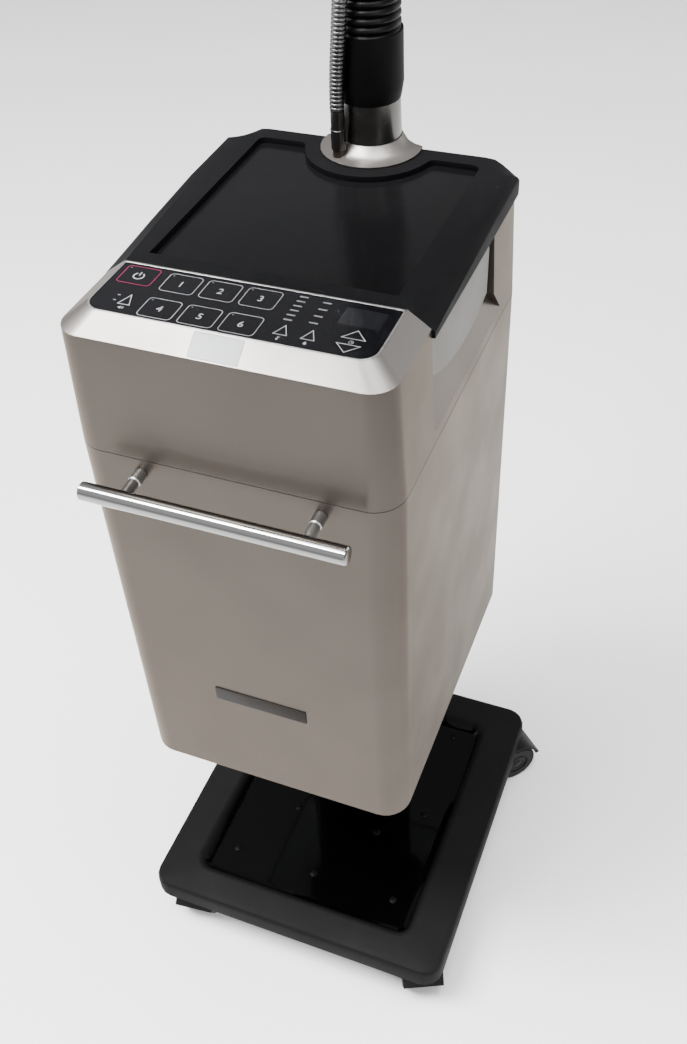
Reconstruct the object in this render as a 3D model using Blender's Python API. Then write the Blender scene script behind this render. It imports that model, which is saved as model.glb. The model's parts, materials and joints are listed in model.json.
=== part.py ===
"""Hair steamer on a wheeled base: cabinet, control panel, water tank, hose arm and hood.

The frame is metres with +Z up. The origin is on the floor under the middle of the base,
-Y is the front where the handle is, and the hose rises at the rear.
"""

import math

import bmesh
import bpy
from mathutils import Matrix, Vector

# Gaps between pieces
CLEAR = 0.0003
SLIDE_GAP = 0.0010

# Base
BASE_WIDTH = 0.421
BASE_DEPTH = 0.454
BASE_CORNER = 0.026
RIM_BOTTOM = 0.0705
RIM_HEIGHT = 0.0325
RIM_ROUND = 0.009
BORDER_SIDE = 0.047
BORDER_FRONT = 0.034
BORDER_REAR = 0.044
BORDER_RISE = 0.005
RECESS_DEPTH = 0.014
RECESS_DRAFT = 0.020
RECESS_CORNER = 0.026
COVER_WALL = 0.003
PLATE_THICK = 0.008
PLATE_MARGIN = 0.005

# Casters: the angle is the way the wheel trails from its stem, in degrees from +X
CASTER_SIDE = {"front": 0.0480, "rear": 0.0325}
CASTER_END = {"front": 0.0680, "rear": 0.0490}
CASTER_TRAIL = 0.022
CASTER_ANGLES = {
    "front_left": -84.0,
    "front_right": -65.0,
    "rear_left": 75.0,
    "rear_right": 48.0,
}
WHEEL_RADIUS = 0.0325
WHEEL_WIDTH = 0.0225
WHEEL_GAP = 0.010
WHEEL_HUB = 0.019
AXLE_RADIUS = 0.004
FENDER_GAP = 0.0020
FENDER_WALL = 0.0028
FENDER_FROM = 12.0
FENDER_TO = 128.0
STEM_RADIUS = 0.0055
STEM_HEAD_RADIUS = 0.014
STEM_HEAD_HEIGHT = 0.006

# Column between the base and the cabinet
COLUMN_WIDTH = 0.130
COLUMN_DEPTH = 0.090
COLUMN_CORNER = 0.012
COLUMN_WALL = 0.003
COLUMN_Y = 0.050
COLUMN_FLANGE = 0.022
COLUMN_FLANGE_THICK = 0.006

# Cabinet
BODY_WIDTH = 0.320
BODY_FRONT = -0.2104
BODY_REAR = 0.181
BODY_CORNER = 0.030
REAR_CORNER = 0.024
BODY_BOTTOM = 0.4245
SEAM_Z = 0.8945
SEAM_GAP = 0.0008
BEZEL_Z = 1.018
TOP_Z = 1.033
BODY_WALL = 0.003
UPPER_DRAFT = 0.0045
BEZEL_WIDTH = 0.021
BEZEL_TOP_CORNER = 0.017
DECK = 0.006
PAN_THICK = 0.004
PAN_RAISE = 0.0012

# Rear: service panel, louvres, mains inlet, rocker and hose spine
REAR_PANEL_WIDTH = 0.180
REAR_PANEL_HEIGHT = 0.150
REAR_PANEL_Z = 0.530
REAR_PANEL_CORNER = 0.008
LOUVRE_COUNT = 5
LOUVRE_WIDTH = 0.070
LOUVRE_HEIGHT = 0.006
LOUVRE_PITCH = 0.014
LOUVRE_X = -0.038
LOUVRE_Z = 0.545
INLET_X = 0.045
INLET_Z = 0.497
INLET_WIDTH = 0.032
INLET_HEIGHT = 0.026
INLET_WALL = 0.003
INLET_DEPTH = 0.024
INLET_FLOOR = 0.003
INLET_LIP = 0.004
INLET_LIP_THICK = 0.002
PIN_WIDTH = 0.0024
PIN_HEIGHT = 0.004
PIN_LENGTH = 0.014
PIN_SPREAD = 0.007
ROCKER_X = 0.045
ROCKER_Z = 0.552
ROCKER_WIDTH = 0.013
ROCKER_HEIGHT = 0.021
ROCKER_DEPTH = 0.009
ROCKER_PROUD = 0.0035
ROCKER_TURN = 10.0
ROCKER_FRAME = 0.003
ROCKER_FRAME_PROUD = 0.0015
ROCKER_PIN = 0.0015
SPINE_RADIUS = 0.036
SPINE_WALL = 0.003
SPINE_BOTTOM = 0.640
SPINE_TAPER = 0.050

# Handle on the front
HANDLE_LENGTH = 0.261
HANDLE_RADIUS = 0.009
HANDLE_Z = 0.8775
HANDLE_STANDOFF = 0.0384
POST_SPACING = 0.1792
POST_RADIUS = 0.0055
POST_FOOT_RADIUS = 0.0064
POST_FOOT_LENGTH = 0.013

# Control panel
PANEL_REAR = -0.1045
PANEL_STRIP = 0.0026
PANEL_EDGE = 0.0022
PANEL_CORNER = 0.015
PANEL_REAR_CORNER = 0.002
PANEL_THICK = 0.0020
PANEL_SUNK = 0.0004
PANEL_LEDGE = 0.0012
KEY_GAP = 0.0004
KEY_FLANGE = 0.0007
KEY_ROOM = 0.0005
KEY_FLANGE_THICK = 0.0008
KEY_TRAVEL = 0.0008
KEY_CORNER = 0.005
KEY_WIDTH = 0.0335
KEY_DEPTH = 0.0290
START_WIDTH = 0.0350
START_DEPTH = 0.0290
START_SPACE = 0.0085
START_INSET = 0.0050
LAYOUT_HALF = 0.1323
KEY_SPACE = 0.0047
KEY_STEP_BACK = 0.0015
ARROW_CORNER = 0.0012
DISPLAY_WIDTH = 0.0380
DISPLAY_DEPTH = 0.0256
DISPLAY_FROM_RIGHT = 0.0290
DISPLAY_FROM_REAR = 0.0200
BOARD_THICK = 0.0016
BOARD_MARGIN = 0.003
LENS_WIDTH = 0.0460
LENS_LENGTH = 0.0225
LENS_THICK = 0.0025
LENS_X = -0.0005

# Tray on top
TRAY_GAP = 0.0003
TRAY_CUT_X = 0.038
TRAY_CUT_Y = 0.034
TRAY_CORNER_SINK = 0.0070
TRAY_EDGE = 0.0012
TRAY_EDGE_DROP = 0.0070
TRAY_CREST = 0.0135
TRAY_REAR_CREST = 0.0030
TRAY_WALL = 0.003
TRAY_RECESS = 0.006
TRAY_RECESS_HALF = 0.120
TRAY_RECESS_FRONT = 0.0175
TRAY_RECESS_REAR = 0.0215
TRAY_RECESS_CORNER = 0.008
TRAY_RECESS_ARC = 0.0690
TRAY_RECESS_FILLET = 0.0080
SEAT_Z = 1.0087
SEAT_LEDGE = 0.010

# Water tank in the right side
BAY_FRONT = -0.1045
BAY_REAR = 0.0870
SILL_Z = 0.909
SILL_REAR = 0.1095
LEDGE_Z = 0.9370
SCOOP_TOP_Z = 0.9515
SCOOP_RUN = 0.022
SCOOP_WALL = 0.003
DOCK_ROOM = 0.0150
DOCK_WALL = 0.003
TANK_FRONT = -0.0880
TANK_REAR = 0.0600
TANK_LENGTH = 0.232
TANK_TOP = 1.0045
TANK_CORNER = 0.010
TANK_NECK_RADIUS = 0.0185
FASCIA_FRONT = -0.1005
FASCIA_REAR = 0.0760
FASCIA_BOTTOM = 0.9375
FASCIA_BELLY_Y = 0.0120
FASCIA_RISE = 0.0285
FASCIA_THICK = 0.005
FASCIA_INSET = 0.0010
FASCIA_TOP_CORNER = 0.012
FASCIA_GRIP_Z = 0.988
VALVE_RADIUS = 0.011
VALVE_HEIGHT = 0.008

# Hose arm
HOSE_Y = 0.172
COLLAR_RADIUS = 0.053
COLLAR_EDGE = 0.0015
COLLAR_FLARE_RADIUS = 0.0450
COLLAR_FLARE_Z = 1.0364
COLLAR_SHOULDER_RADIUS = 0.0385
COLLAR_SHOULDER_Z = 1.0395
COLLAR_NECK_FOOT = 0.0360
COLLAR_NECK_RADIUS = 0.0320
COLLAR_NECK_Z = 1.0470
COLLAR_BORE = 0.0275
FERRULE_RADIUS = 0.0313
FERRULE_TOP_RADIUS = 0.0306
FERRULE_HEIGHT = 0.0380
FERRULE_BORE = 0.0245
FERRULE_SPIGOT = 0.0135
SWIVEL_GAP = 0.0012
CUFF_RADIUS = 0.0340
CUFF_LOWER_RADIUS = 0.0314
CUFF_FLARE = 0.0150
CUFF_HEIGHT = 0.0665
CUFF_SOCKET = 0.0314
CUFF_SOCKET_DEPTH = 0.0400
HOSE_RADIUS = 0.0322
HOSE_VALLEY = 0.0290
HOSE_BORE = 0.0245
HOSE_RIB_PITCH = 0.0112
HOSE_SIDES = 8
HOSE_RISE_Z = 1.620
HOSE_BEND = 0.200
HOSE_DROP = 0.070
CONDUIT_X = -0.0095
CONDUIT_Y = -0.0430
CONDUIT_FOOT_X = -0.0217
CONDUIT_FOOT_Y = -0.0359
CONDUIT_RADIUS = 0.0074
CONDUIT_VALLEY = 0.0066
CONDUIT_RIB_PITCH = 0.0110
CONDUIT_BOSS_RADIUS = 0.0064
CONDUIT_BOSS_Z = 1.0436
CONDUIT_LEAN_Z = 1.230
CONDUIT_FERRULE_RADIUS = 0.0075
CONDUIT_FERRULE_UPPER = 0.0071
CONDUIT_FERRULE_HEIGHT = 0.0395
CONDUIT_FERRULE_STEP = 0.0205

# Hood
COUPLING_RADIUS = 0.0390
COUPLING_HEIGHT = 0.0480
COUPLING_SOCKET_DEPTH = 0.0200
COUPLING_LOWER_RADIUS = 0.0300
TRUNNION_RADIUS = 0.0060
TRUNNION_REACH = 0.0520
TRUNNION_DROP = 0.0300
YOKE_RADIUS = 0.0640
YOKE_BORE = 0.0430
YOKE_THICK = 0.0040
YOKE_DROP = 0.0300
YOKE_EAR_WIDTH = 0.0260
YOKE_EAR_THICK = 0.0050
YOKE_EAR_GAP = 0.0010
HOOD_RADIUS = 0.170
HOOD_DEPTH = 0.105
HOOD_WALL = 0.003
HOOD_CROWN = 0.0560
HOOD_STEPS = 6
HOOD_LIP_RADIUS = 0.0050
HOOD_LIP_HEIGHT = 0.0120
HOOD_TILT = 20.0

# Heights and places that follow from the sizes above
BASE_TOP = RIM_BOTTOM + RIM_HEIGHT
RECESS_EDGE_Z = BASE_TOP + BORDER_RISE
RECESS_FLOOR_Z = RECESS_EDGE_Z - RECESS_DEPTH
PLATE_TOP = RECESS_FLOOR_Z - COVER_WALL - CLEAR
PLATE_BOTTOM = PLATE_TOP - PLATE_THICK
BODY_HALF = BODY_WIDTH / 2
UPPER_HALF = BODY_HALF - UPPER_DRAFT
PANEL_HALF = UPPER_HALF - BEZEL_WIDTH
PANEL_FRONT = BODY_FRONT + UPPER_DRAFT + BEZEL_WIDTH
PANEL_TOP = TOP_Z - PANEL_SUNK
FACE_HALF = PANEL_HALF - PANEL_EDGE
FACE_FRONT = PANEL_FRONT + PANEL_EDGE
FACE_REAR = PANEL_REAR - PANEL_STRIP
KEY_REACH = PANEL_LEDGE + KEY_FLANGE + KEY_ROOM
TRAY_FRONT = PANEL_REAR + TRAY_GAP
TRAY_REAR = BODY_REAR + TRAY_EDGE
FLANGE_Z = TOP_Z + CLEAR
FERRULE_Z = COLLAR_NECK_Z + SWIVEL_GAP
CUFF_Z = FERRULE_Z + FERRULE_HEIGHT + CLEAR
CUFF_TOP = CUFF_Z + CUFF_HEIGHT
HOSE_START_Z = CUFF_TOP - CUFF_SOCKET_DEPTH + CLEAR
HOSE_END_Y = HOSE_Y - 2 * HOSE_BEND
HOSE_END_Z = HOSE_RISE_Z - HOSE_DROP
COUPLING_TOP = HOSE_END_Z - CLEAR + COUPLING_SOCKET_DEPTH
COUPLING_BOTTOM = COUPLING_TOP - COUPLING_HEIGHT
TILT_Z = COUPLING_TOP - TRUNNION_DROP
YOKE_TOP = TILT_Z - YOKE_DROP
SCOOP_TOP_X = UPPER_HALF - SCOOP_RUN


def clear_scene():
    """Empty the scene of whatever it holds."""
    for obj in list(bpy.data.objects):
        bpy.data.objects.remove(obj, do_unlink=True)


def material(name, colour, roughness, metallic=0.0, alpha=1.0):
    """Make one finish."""
    mat = bpy.data.materials.new(name)
    mat.use_nodes = True
    shader = mat.node_tree.nodes["Principled BSDF"]
    shader.inputs["Base Color"].default_value = (*colour, 1.0)
    shader.inputs["Roughness"].default_value = roughness
    shader.inputs["Metallic"].default_value = metallic
    shader.inputs["Alpha"].default_value = alpha
    mat.diffuse_color = (*colour, alpha)
    return mat


def empty(name, place, turn=0.0, parent=None):
    """Make an empty that holds a group of pieces, turned about Z by some degrees."""
    obj = bpy.data.objects.new(name, None)
    obj.empty_display_size = 0.03
    obj.location = Vector(place) - (parent.location if parent else Vector())
    obj.rotation_euler = (0.0, 0.0, math.radians(turn))
    obj.parent = parent
    bpy.context.scene.collection.objects.link(obj)
    return obj


def to_mesh(name, bm, origin=(0, 0, 0)):
    """Turn a bmesh into a mesh whose origin lies at the given point."""
    bmesh.ops.remove_doubles(bm, verts=bm.verts, dist=1e-7)
    bmesh.ops.recalc_face_normals(bm, faces=bm.faces)
    bmesh.ops.translate(bm, verts=bm.verts, vec=-Vector(origin))
    mesh = bpy.data.meshes.new(name)
    bm.to_mesh(mesh)
    bm.free()
    mesh.shade_smooth()
    mesh.set_sharp_from_angle(angle=math.radians(32))
    return mesh


def place(name, bm, mat, origin=(0, 0, 0), parent=None):
    """Add one piece to the scene with its origin at a point of the shared frame."""
    mesh = to_mesh(name, bm, origin)
    mesh.materials.append(mat)
    obj = bpy.data.objects.new(name, mesh)
    obj.location = Vector(origin) - (parent.location if parent else Vector())
    obj.parent = parent
    bpy.context.scene.collection.objects.link(obj)
    return obj


def tool(name, bm):
    """Add a helper that only cuts or joins."""
    obj = bpy.data.objects.new(name, to_mesh(name, bm))
    obj.hide_render = True
    obj.display_type = "WIRE"
    bpy.context.scene.collection.objects.link(obj)
    return obj


def combine(target, operation, *tools):
    """Cut helpers out of a piece, or join them to it."""
    for helper in tools:
        mod = target.modifiers.new(helper.name, "BOOLEAN")
        mod.operation = operation
        mod.solver = "EXACT"
        mod.object = helper
    return target


def baked(obj):
    """Replace a piece's mesh by its evaluated one, so that copies can share it."""
    graph = bpy.context.evaluated_depsgraph_get()
    graph.update()
    mesh = bpy.data.meshes.new_from_object(obj.evaluated_get(graph))
    obj.modifiers.clear()
    obj.data = mesh
    return mesh


def loft(rings, closed=False):
    """Skin a row of rings with equal point counts; the ends are capped or joined."""
    bm = bmesh.new()
    loops = [[bm.verts.new(p) for p in ring] for ring in rings]
    pairs = list(zip(loops, loops[1:]))
    if closed:
        pairs.append((loops[-1], loops[0]))
    for low, high in pairs:
        for i in range(len(low)):
            j = (i + 1) % len(low)
            bm.faces.new((low[i], low[j], high[j], high[i]))
    if not closed:
        bm.faces.new(loops[0])
        bm.faces.new(loops[-1])
    return bm


def circle(radius, z, centre=(0.0, 0.0), steps=32):
    """Ring of points round a vertical axis."""
    turns = [2 * math.pi * (i + 0.5) / steps for i in range(steps)]
    return [(centre[0] + radius * math.cos(a), centre[1] + radius * math.sin(a), z) for a in turns]


def turned(profile, centre=(0.0, 0.0), steps=32, closed=False):
    """Turn a profile of (radius, height) points round a vertical axis."""
    return loft([circle(r, z, centre, steps) for r, z in profile], closed)


def oblong(x0, x1, y0, y1, radii, steps=4):
    """Outline of a rectangle; radii are for front right, rear right, rear left, front left."""
    corners = ((x1, y0, -1, 1), (x1, y1, -1, -1), (x0, y1, 1, -1), (x0, y0, 1, 1))
    points = []
    for k, (x, y, sx, sy) in enumerate(corners):
        r = radii[k]
        for s in range(steps + 1):
            a = math.radians(-90 + 90 * k + 90 * s / max(steps, 1))
            points.append((x + sx * r + r * math.cos(a), y + sy * r + r * math.sin(a)))
    return points


def rect(width, depth, radius, centre=(0.0, 0.0), steps=4):
    """Outline of a rounded rectangle about a point."""
    cx, cy = centre
    hx = width / 2
    hy = depth / 2
    return oblong(cx - hx, cx + hx, cy - hy, cy + hy, (radius,) * 4, steps)


def at(outline, z):
    """Lay a flat outline at a height."""
    return [(x, y, z) for x, y in outline]


def prism(outline, z0, z1):
    """Straight solid over a flat outline."""
    return loft([at(outline, z0), at(outline, z1)])


def block(low, high):
    """Plain box between two corners."""
    return prism(oblong(low[0], high[0], low[1], high[1], (0.0,) * 4, 0), low[2], high[2])


def rod(start, end, radius, steps=20, end_radius=None):
    """Round bar between two points."""
    start = Vector(start)
    axis = Vector(end) - start
    last = radius if end_radius is None else end_radius
    bm = loft([circle(radius, 0.0, steps=steps), circle(last, axis.length, steps=steps)])
    turn = Vector((0, 0, 1)).rotation_difference(axis.normalized()).to_matrix().to_4x4()
    bmesh.ops.transform(bm, matrix=Matrix.Translation(start) @ turn, verts=bm.verts)
    return bm


def body_outline(side, front, rear, corner, steps=7):
    """Cabinet outline with rounded corners.

    side, front and rear say how far each wall is drawn in from the cabinet's outer faces.
    """
    hx = BODY_HALF - side
    y0 = BODY_FRONT + front
    y1 = BODY_REAR - rear
    back = max(REAR_CORNER - min(side, rear), BODY_WALL)
    points = []
    for k, sx in enumerate((-1, 1)):
        for s in range(steps + 1):
            a = math.radians(180 + 90 * k + 90 * s / steps)
            points.append((sx * (hx - corner) + corner * math.cos(a), y0 + corner + corner * math.sin(a)))
    for k, sx in enumerate((1, -1)):
        for i in range(6):
            a = math.radians(90 * k + 18 * i)
            points.append((sx * (hx - back) + back * math.cos(a), y1 - back + back * math.sin(a)))
    return points


def build_base(mats):
    """Moulded cover, steel plate and column."""
    def ring(z, inset):
        return at(rect(BASE_WIDTH - 2 * inset, BASE_DEPTH - 2 * inset, max(BASE_CORNER - inset, 0.004)), z)

    def dish(z, inset):
        corner = max(RECESS_CORNER - inset, 0.004)
        outline = oblong(
            -BASE_WIDTH / 2 + BORDER_SIDE + inset,
            BASE_WIDTH / 2 - BORDER_SIDE - inset,
            -BASE_DEPTH / 2 + BORDER_FRONT + inset,
            BASE_DEPTH / 2 - BORDER_REAR - inset,
            (corner,) * 4,
        )
        return at(outline, z)

    cover = place(
        "base_cover",
        loft(
            [
                dish(RECESS_FLOOR_Z, RECESS_DRAFT),
                dish(RECESS_FLOOR_Z + 0.095 * RECESS_DEPTH, 0.8 * RECESS_DRAFT),
                dish(RECESS_FLOOR_Z + 0.345 * RECESS_DEPTH, 0.6 * RECESS_DRAFT),
                dish(RECESS_FLOOR_Z + 0.655 * RECESS_DEPTH, 0.4 * RECESS_DRAFT),
                dish(RECESS_FLOOR_Z + 0.905 * RECESS_DEPTH, 0.2 * RECESS_DRAFT),
                dish(RECESS_EDGE_Z, 0.0),
                ring(BASE_TOP, RIM_ROUND),
                ring(BASE_TOP - 0.29 * RIM_ROUND, 0.29 * RIM_ROUND),
                ring(BASE_TOP - RIM_ROUND, 0.0),
                ring(RIM_BOTTOM, 0.0),
                ring(RIM_BOTTOM, COVER_WALL),
                ring(BASE_TOP - COVER_WALL - RIM_ROUND / 2, COVER_WALL),
                dish(RECESS_EDGE_Z - COVER_WALL, -COVER_WALL),
                dish(RECESS_FLOOR_Z - COVER_WALL, RECESS_DRAFT - COVER_WALL),
            ]
        ),
        mats["black_satin"],
    )
    hole = rect(
        COLUMN_WIDTH + 2 * CLEAR,
        COLUMN_DEPTH + 2 * CLEAR,
        COLUMN_CORNER + CLEAR,
        (0.0, COLUMN_Y),
    )
    low = RECESS_FLOOR_Z - 3 * COVER_WALL
    combine(cover, "DIFFERENCE", tool("cut_column", prism(hole, low, RECESS_FLOOR_Z + COVER_WALL)))
    margin = COVER_WALL + PLATE_MARGIN
    plate = place(
        "base_plate",
        prism(
            rect(BASE_WIDTH - 2 * margin, BASE_DEPTH - 2 * margin, BASE_CORNER - margin),
            PLATE_BOTTOM,
            PLATE_TOP,
        ),
        mats["steel"],
    )
    for name in CASTER_ANGLES:
        sx, sy = stem_place(name)
        bore = turned(
            [(STEM_RADIUS + CLEAR, PLATE_BOTTOM - 0.002), (STEM_RADIUS + CLEAR, PLATE_TOP + 0.002)],
            (sx, sy),
            12,
        )
        combine(plate, "DIFFERENCE", tool("bore_" + name, bore))

    def tube(z, grow):
        outline = rect(
            COLUMN_WIDTH + 2 * grow,
            COLUMN_DEPTH + 2 * grow,
            COLUMN_CORNER + grow,
            (0.0, COLUMN_Y),
        )
        return at(outline, z)

    top = BODY_BOTTOM + PAN_RAISE - CLEAR
    foot = PLATE_TOP + CLEAR
    place(
        "column",
        loft(
            [
                tube(foot, 0.0),
                tube(top - COLUMN_FLANGE_THICK, 0.0),
                tube(top - COLUMN_FLANGE_THICK, COLUMN_FLANGE),
                tube(top, COLUMN_FLANGE),
                tube(top, -COLUMN_WALL),
                tube(foot, -COLUMN_WALL),
            ],
            closed=True,
        ),
        mats["column_paint"],
    )


def stem_place(name):
    """Where a caster's stem stands."""
    end, side = name.split("_")
    x = BASE_WIDTH / 2 - CASTER_SIDE[end]
    y = BASE_DEPTH / 2 - CASTER_END[end]
    return (x if side == "right" else -x), (y if end == "rear" else -y)


def build_casters(mats):
    """Four hooded twin-wheel casters, modelled once round their stem and then copied."""
    inner = WHEEL_RADIUS + FENDER_GAP
    outer = inner + FENDER_WALL
    half = WHEEL_GAP / 2 + WHEEL_WIDTH
    steps = 8
    arc = [math.radians(FENDER_FROM + (FENDER_TO - FENDER_FROM) * i / steps) for i in range(steps + 1)]
    section = [(outer * math.cos(a), outer * math.sin(a)) for a in arc]
    section[0] = (outer + FENDER_WALL, section[0][1])
    section += [(inner * math.cos(a), inner * math.sin(a)) for a in reversed(arc)]

    def upright(points, reach):
        def side(y):
            return [(CASTER_TRAIL + u, y, WHEEL_RADIUS + w) for u, w in points]

        return loft([side(-reach), side(reach)])

    fork = place("fork_pattern", upright(section, half), mats["black_plastic"])
    web_half = WHEEL_GAP / 2 - SLIDE_GAP
    reach = (inner + outer) / 2
    bottom = 2.2 * AXLE_RADIUS
    web = [
        (bottom, -bottom),
        (reach * math.cos(arc[1]), reach * math.sin(arc[1])),
        (reach * math.cos(arc[4]), reach * math.sin(arc[4])),
        (reach * math.cos(arc[-1]), reach * math.sin(arc[-1])),
        (-CASTER_TRAIL - STEM_HEAD_RADIUS * 0.7, 0.3 * WHEEL_RADIUS),
        (-bottom, -bottom),
    ]
    neck_top = PLATE_BOTTOM - CLEAR
    neck = turned(
        [
            (STEM_HEAD_RADIUS, WHEEL_RADIUS + 0.55 * inner),
            (STEM_HEAD_RADIUS, neck_top),
            (STEM_RADIUS, neck_top),
            (STEM_RADIUS, PLATE_TOP - CLEAR),
        ],
        steps=12,
    )
    def wheel_room(side):
        return rod(
            (CASTER_TRAIL, side * half, WHEEL_RADIUS),
            (CASTER_TRAIL, side * (WHEEL_GAP / 2 - CLEAR), WHEEL_RADIUS),
            inner,
            20,
        )

    combine(fork, "UNION", tool("fork_web", upright(web, web_half)), tool("fork_neck", neck))
    bore = rod(
        (CASTER_TRAIL, -half, WHEEL_RADIUS),
        (CASTER_TRAIL, half, WHEEL_RADIUS),
        AXLE_RADIUS + CLEAR,
        12,
    )
    rooms = (tool("wheel_room_near", wheel_room(-1)), tool("wheel_room_far", wheel_room(1)))
    combine(fork, "DIFFERENCE", *rooms)
    combine(fork, "DIFFERENCE", tool("axle_bore", bore))
    fork_mesh = baked(fork)
    bpy.data.objects.remove(fork, do_unlink=True)
    tread = 0.0022
    side = [
        (AXLE_RADIUS, 0.0),
        (AXLE_RADIUS, WHEEL_GAP / 2),
        (WHEEL_RADIUS, WHEEL_GAP / 2),
        (WHEEL_RADIUS, half - tread),
        (WHEEL_RADIUS - tread, half),
        (WHEEL_HUB, half),
        (WHEEL_HUB - tread, half - tread),
    ]
    profile = [(r, -y) for r, y in reversed(side[1:])] + side[1:]
    wheel_bm = turned(profile, steps=20)
    lay = Matrix.Rotation(math.radians(-90), 4, "X")
    bmesh.ops.transform(wheel_bm, matrix=lay, verts=wheel_bm.verts)
    wheel_mesh = to_mesh("caster_wheel", wheel_bm)
    wheel_mesh.materials.append(mats["black_plastic"])
    for name, angle in CASTER_ANGLES.items():
        sx, sy = stem_place(name)
        group = empty("swivel_" + name, (sx, sy, 0.0), angle)
        hooded = bpy.data.objects.new("caster_fork_" + name, fork_mesh)
        hooded.parent = group
        wheel = bpy.data.objects.new("caster_wheel_" + name, wheel_mesh)
        wheel.parent = group
        wheel.location = (CASTER_TRAIL, 0.0, WHEEL_RADIUS)
        for obj in (hooded, wheel):
            bpy.context.scene.collection.objects.link(obj)


def build_lower(mats):
    """Lower housing, floor pan, rear service panel, inlet, rocker and hose spine."""
    low = BODY_BOTTOM
    high = SEAM_Z - SEAM_GAP / 2
    outer = body_outline(0.0, 0.0, 0.0, BODY_CORNER)
    inner = body_outline(BODY_WALL, BODY_WALL, BODY_WALL, BODY_CORNER - BODY_WALL)
    housing = place(
        "lower_housing",
        loft([at(outer, low), at(outer, high), at(inner, high), at(inner, low)], closed=True),
        mats["silver_paint"],
    )
    fit = BODY_WALL + CLEAR
    pan = prism(
        body_outline(fit, fit, fit, BODY_CORNER - fit),
        BODY_BOTTOM + PAN_RAISE,
        BODY_BOTTOM + PAN_RAISE + PAN_THICK,
    )
    place("bottom_pan", pan, mats["steel"])

    def wall_block(width, height, radius, x, z, y0, y1):
        """Rounded block through the rear wall, drawn on the wall and pushed along Y."""
        outline = rect(width, height, radius, (x, z), 3)
        return loft([[(u, y0, w) for u, w in outline], [(u, y1, w) for u, w in outline]])

    back = BODY_REAR
    inside = BODY_REAR - BODY_WALL
    grow = 2 * CLEAR
    opening = wall_block(
        REAR_PANEL_WIDTH + grow,
        REAR_PANEL_HEIGHT + grow,
        REAR_PANEL_CORNER + CLEAR,
        0.0,
        REAR_PANEL_Z,
        inside - BODY_WALL,
        back + BODY_WALL,
    )
    combine(housing, "DIFFERENCE", tool("cut_rear_panel", opening))
    panel = place(
        "rear_panel",
        wall_block(REAR_PANEL_WIDTH, REAR_PANEL_HEIGHT, REAR_PANEL_CORNER, 0.0, REAR_PANEL_Z, inside, back),
        mats["black_satin"],
    )
    for i in range(LOUVRE_COUNT):
        z = LOUVRE_Z + (i - (LOUVRE_COUNT - 1) / 2) * LOUVRE_PITCH
        slot = wall_block(
            LOUVRE_WIDTH,
            LOUVRE_HEIGHT,
            LOUVRE_HEIGHT * 0.48,
            LOUVRE_X,
            z,
            inside - BODY_WALL,
            back + BODY_WALL,
        )
        combine(panel, "DIFFERENCE", tool("louvre_%d" % i, slot))
    frame = ROCKER_FRAME
    for label, w, h, x, z in (
        ("inlet", INLET_WIDTH, INLET_HEIGHT, INLET_X, INLET_Z),
        ("rocker", ROCKER_WIDTH + 2 * frame, ROCKER_HEIGHT + 2 * frame, ROCKER_X, ROCKER_Z),
    ):
        hole = wall_block(w + grow, h + grow, 0.002, x, z, inside - BODY_WALL, back + BODY_WALL)
        combine(panel, "DIFFERENCE", tool("cut_" + label, hole))
    inlet = place(
        "power_inlet",
        wall_block(INLET_WIDTH, INLET_HEIGHT, 0.002, INLET_X, INLET_Z, back - INLET_DEPTH, back + CLEAR),
        mats["black_plastic"],
    )
    lip = wall_block(
        INLET_WIDTH + 2 * INLET_LIP,
        INLET_HEIGHT + 2 * INLET_LIP,
        0.003,
        INLET_X,
        INLET_Z,
        back + CLEAR / 2 + CLEAR / 2,
        back + CLEAR + INLET_LIP_THICK,
    )
    well = wall_block(
        INLET_WIDTH - 2 * INLET_WALL,
        INLET_HEIGHT - 2 * INLET_WALL,
        0.003,
        INLET_X,
        INLET_Z,
        back - INLET_DEPTH + INLET_FLOOR,
        back + 2 * INLET_LIP_THICK + CLEAR,
    )
    combine(inlet, "UNION", tool("inlet_lip", lip))
    combine(inlet, "DIFFERENCE", tool("inlet_well", well))
    for i, (dx, dz) in enumerate(((-PIN_SPREAD, -0.002), (0.0, 0.002), (PIN_SPREAD, -0.002))):
        root = back - INLET_DEPTH + INLET_FLOOR / 2
        pin = block(
            (INLET_X + dx - PIN_WIDTH / 2, root, INLET_Z + dz - PIN_HEIGHT / 2),
            (INLET_X + dx + PIN_WIDTH / 2, root + PIN_LENGTH, INLET_Z + dz + PIN_HEIGHT / 2),
        )
        combine(inlet, "UNION", tool("inlet_pin_%d" % i, pin))
    build_rocker(mats, wall_block, back, inside)
    build_spine(mats, back)


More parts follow.
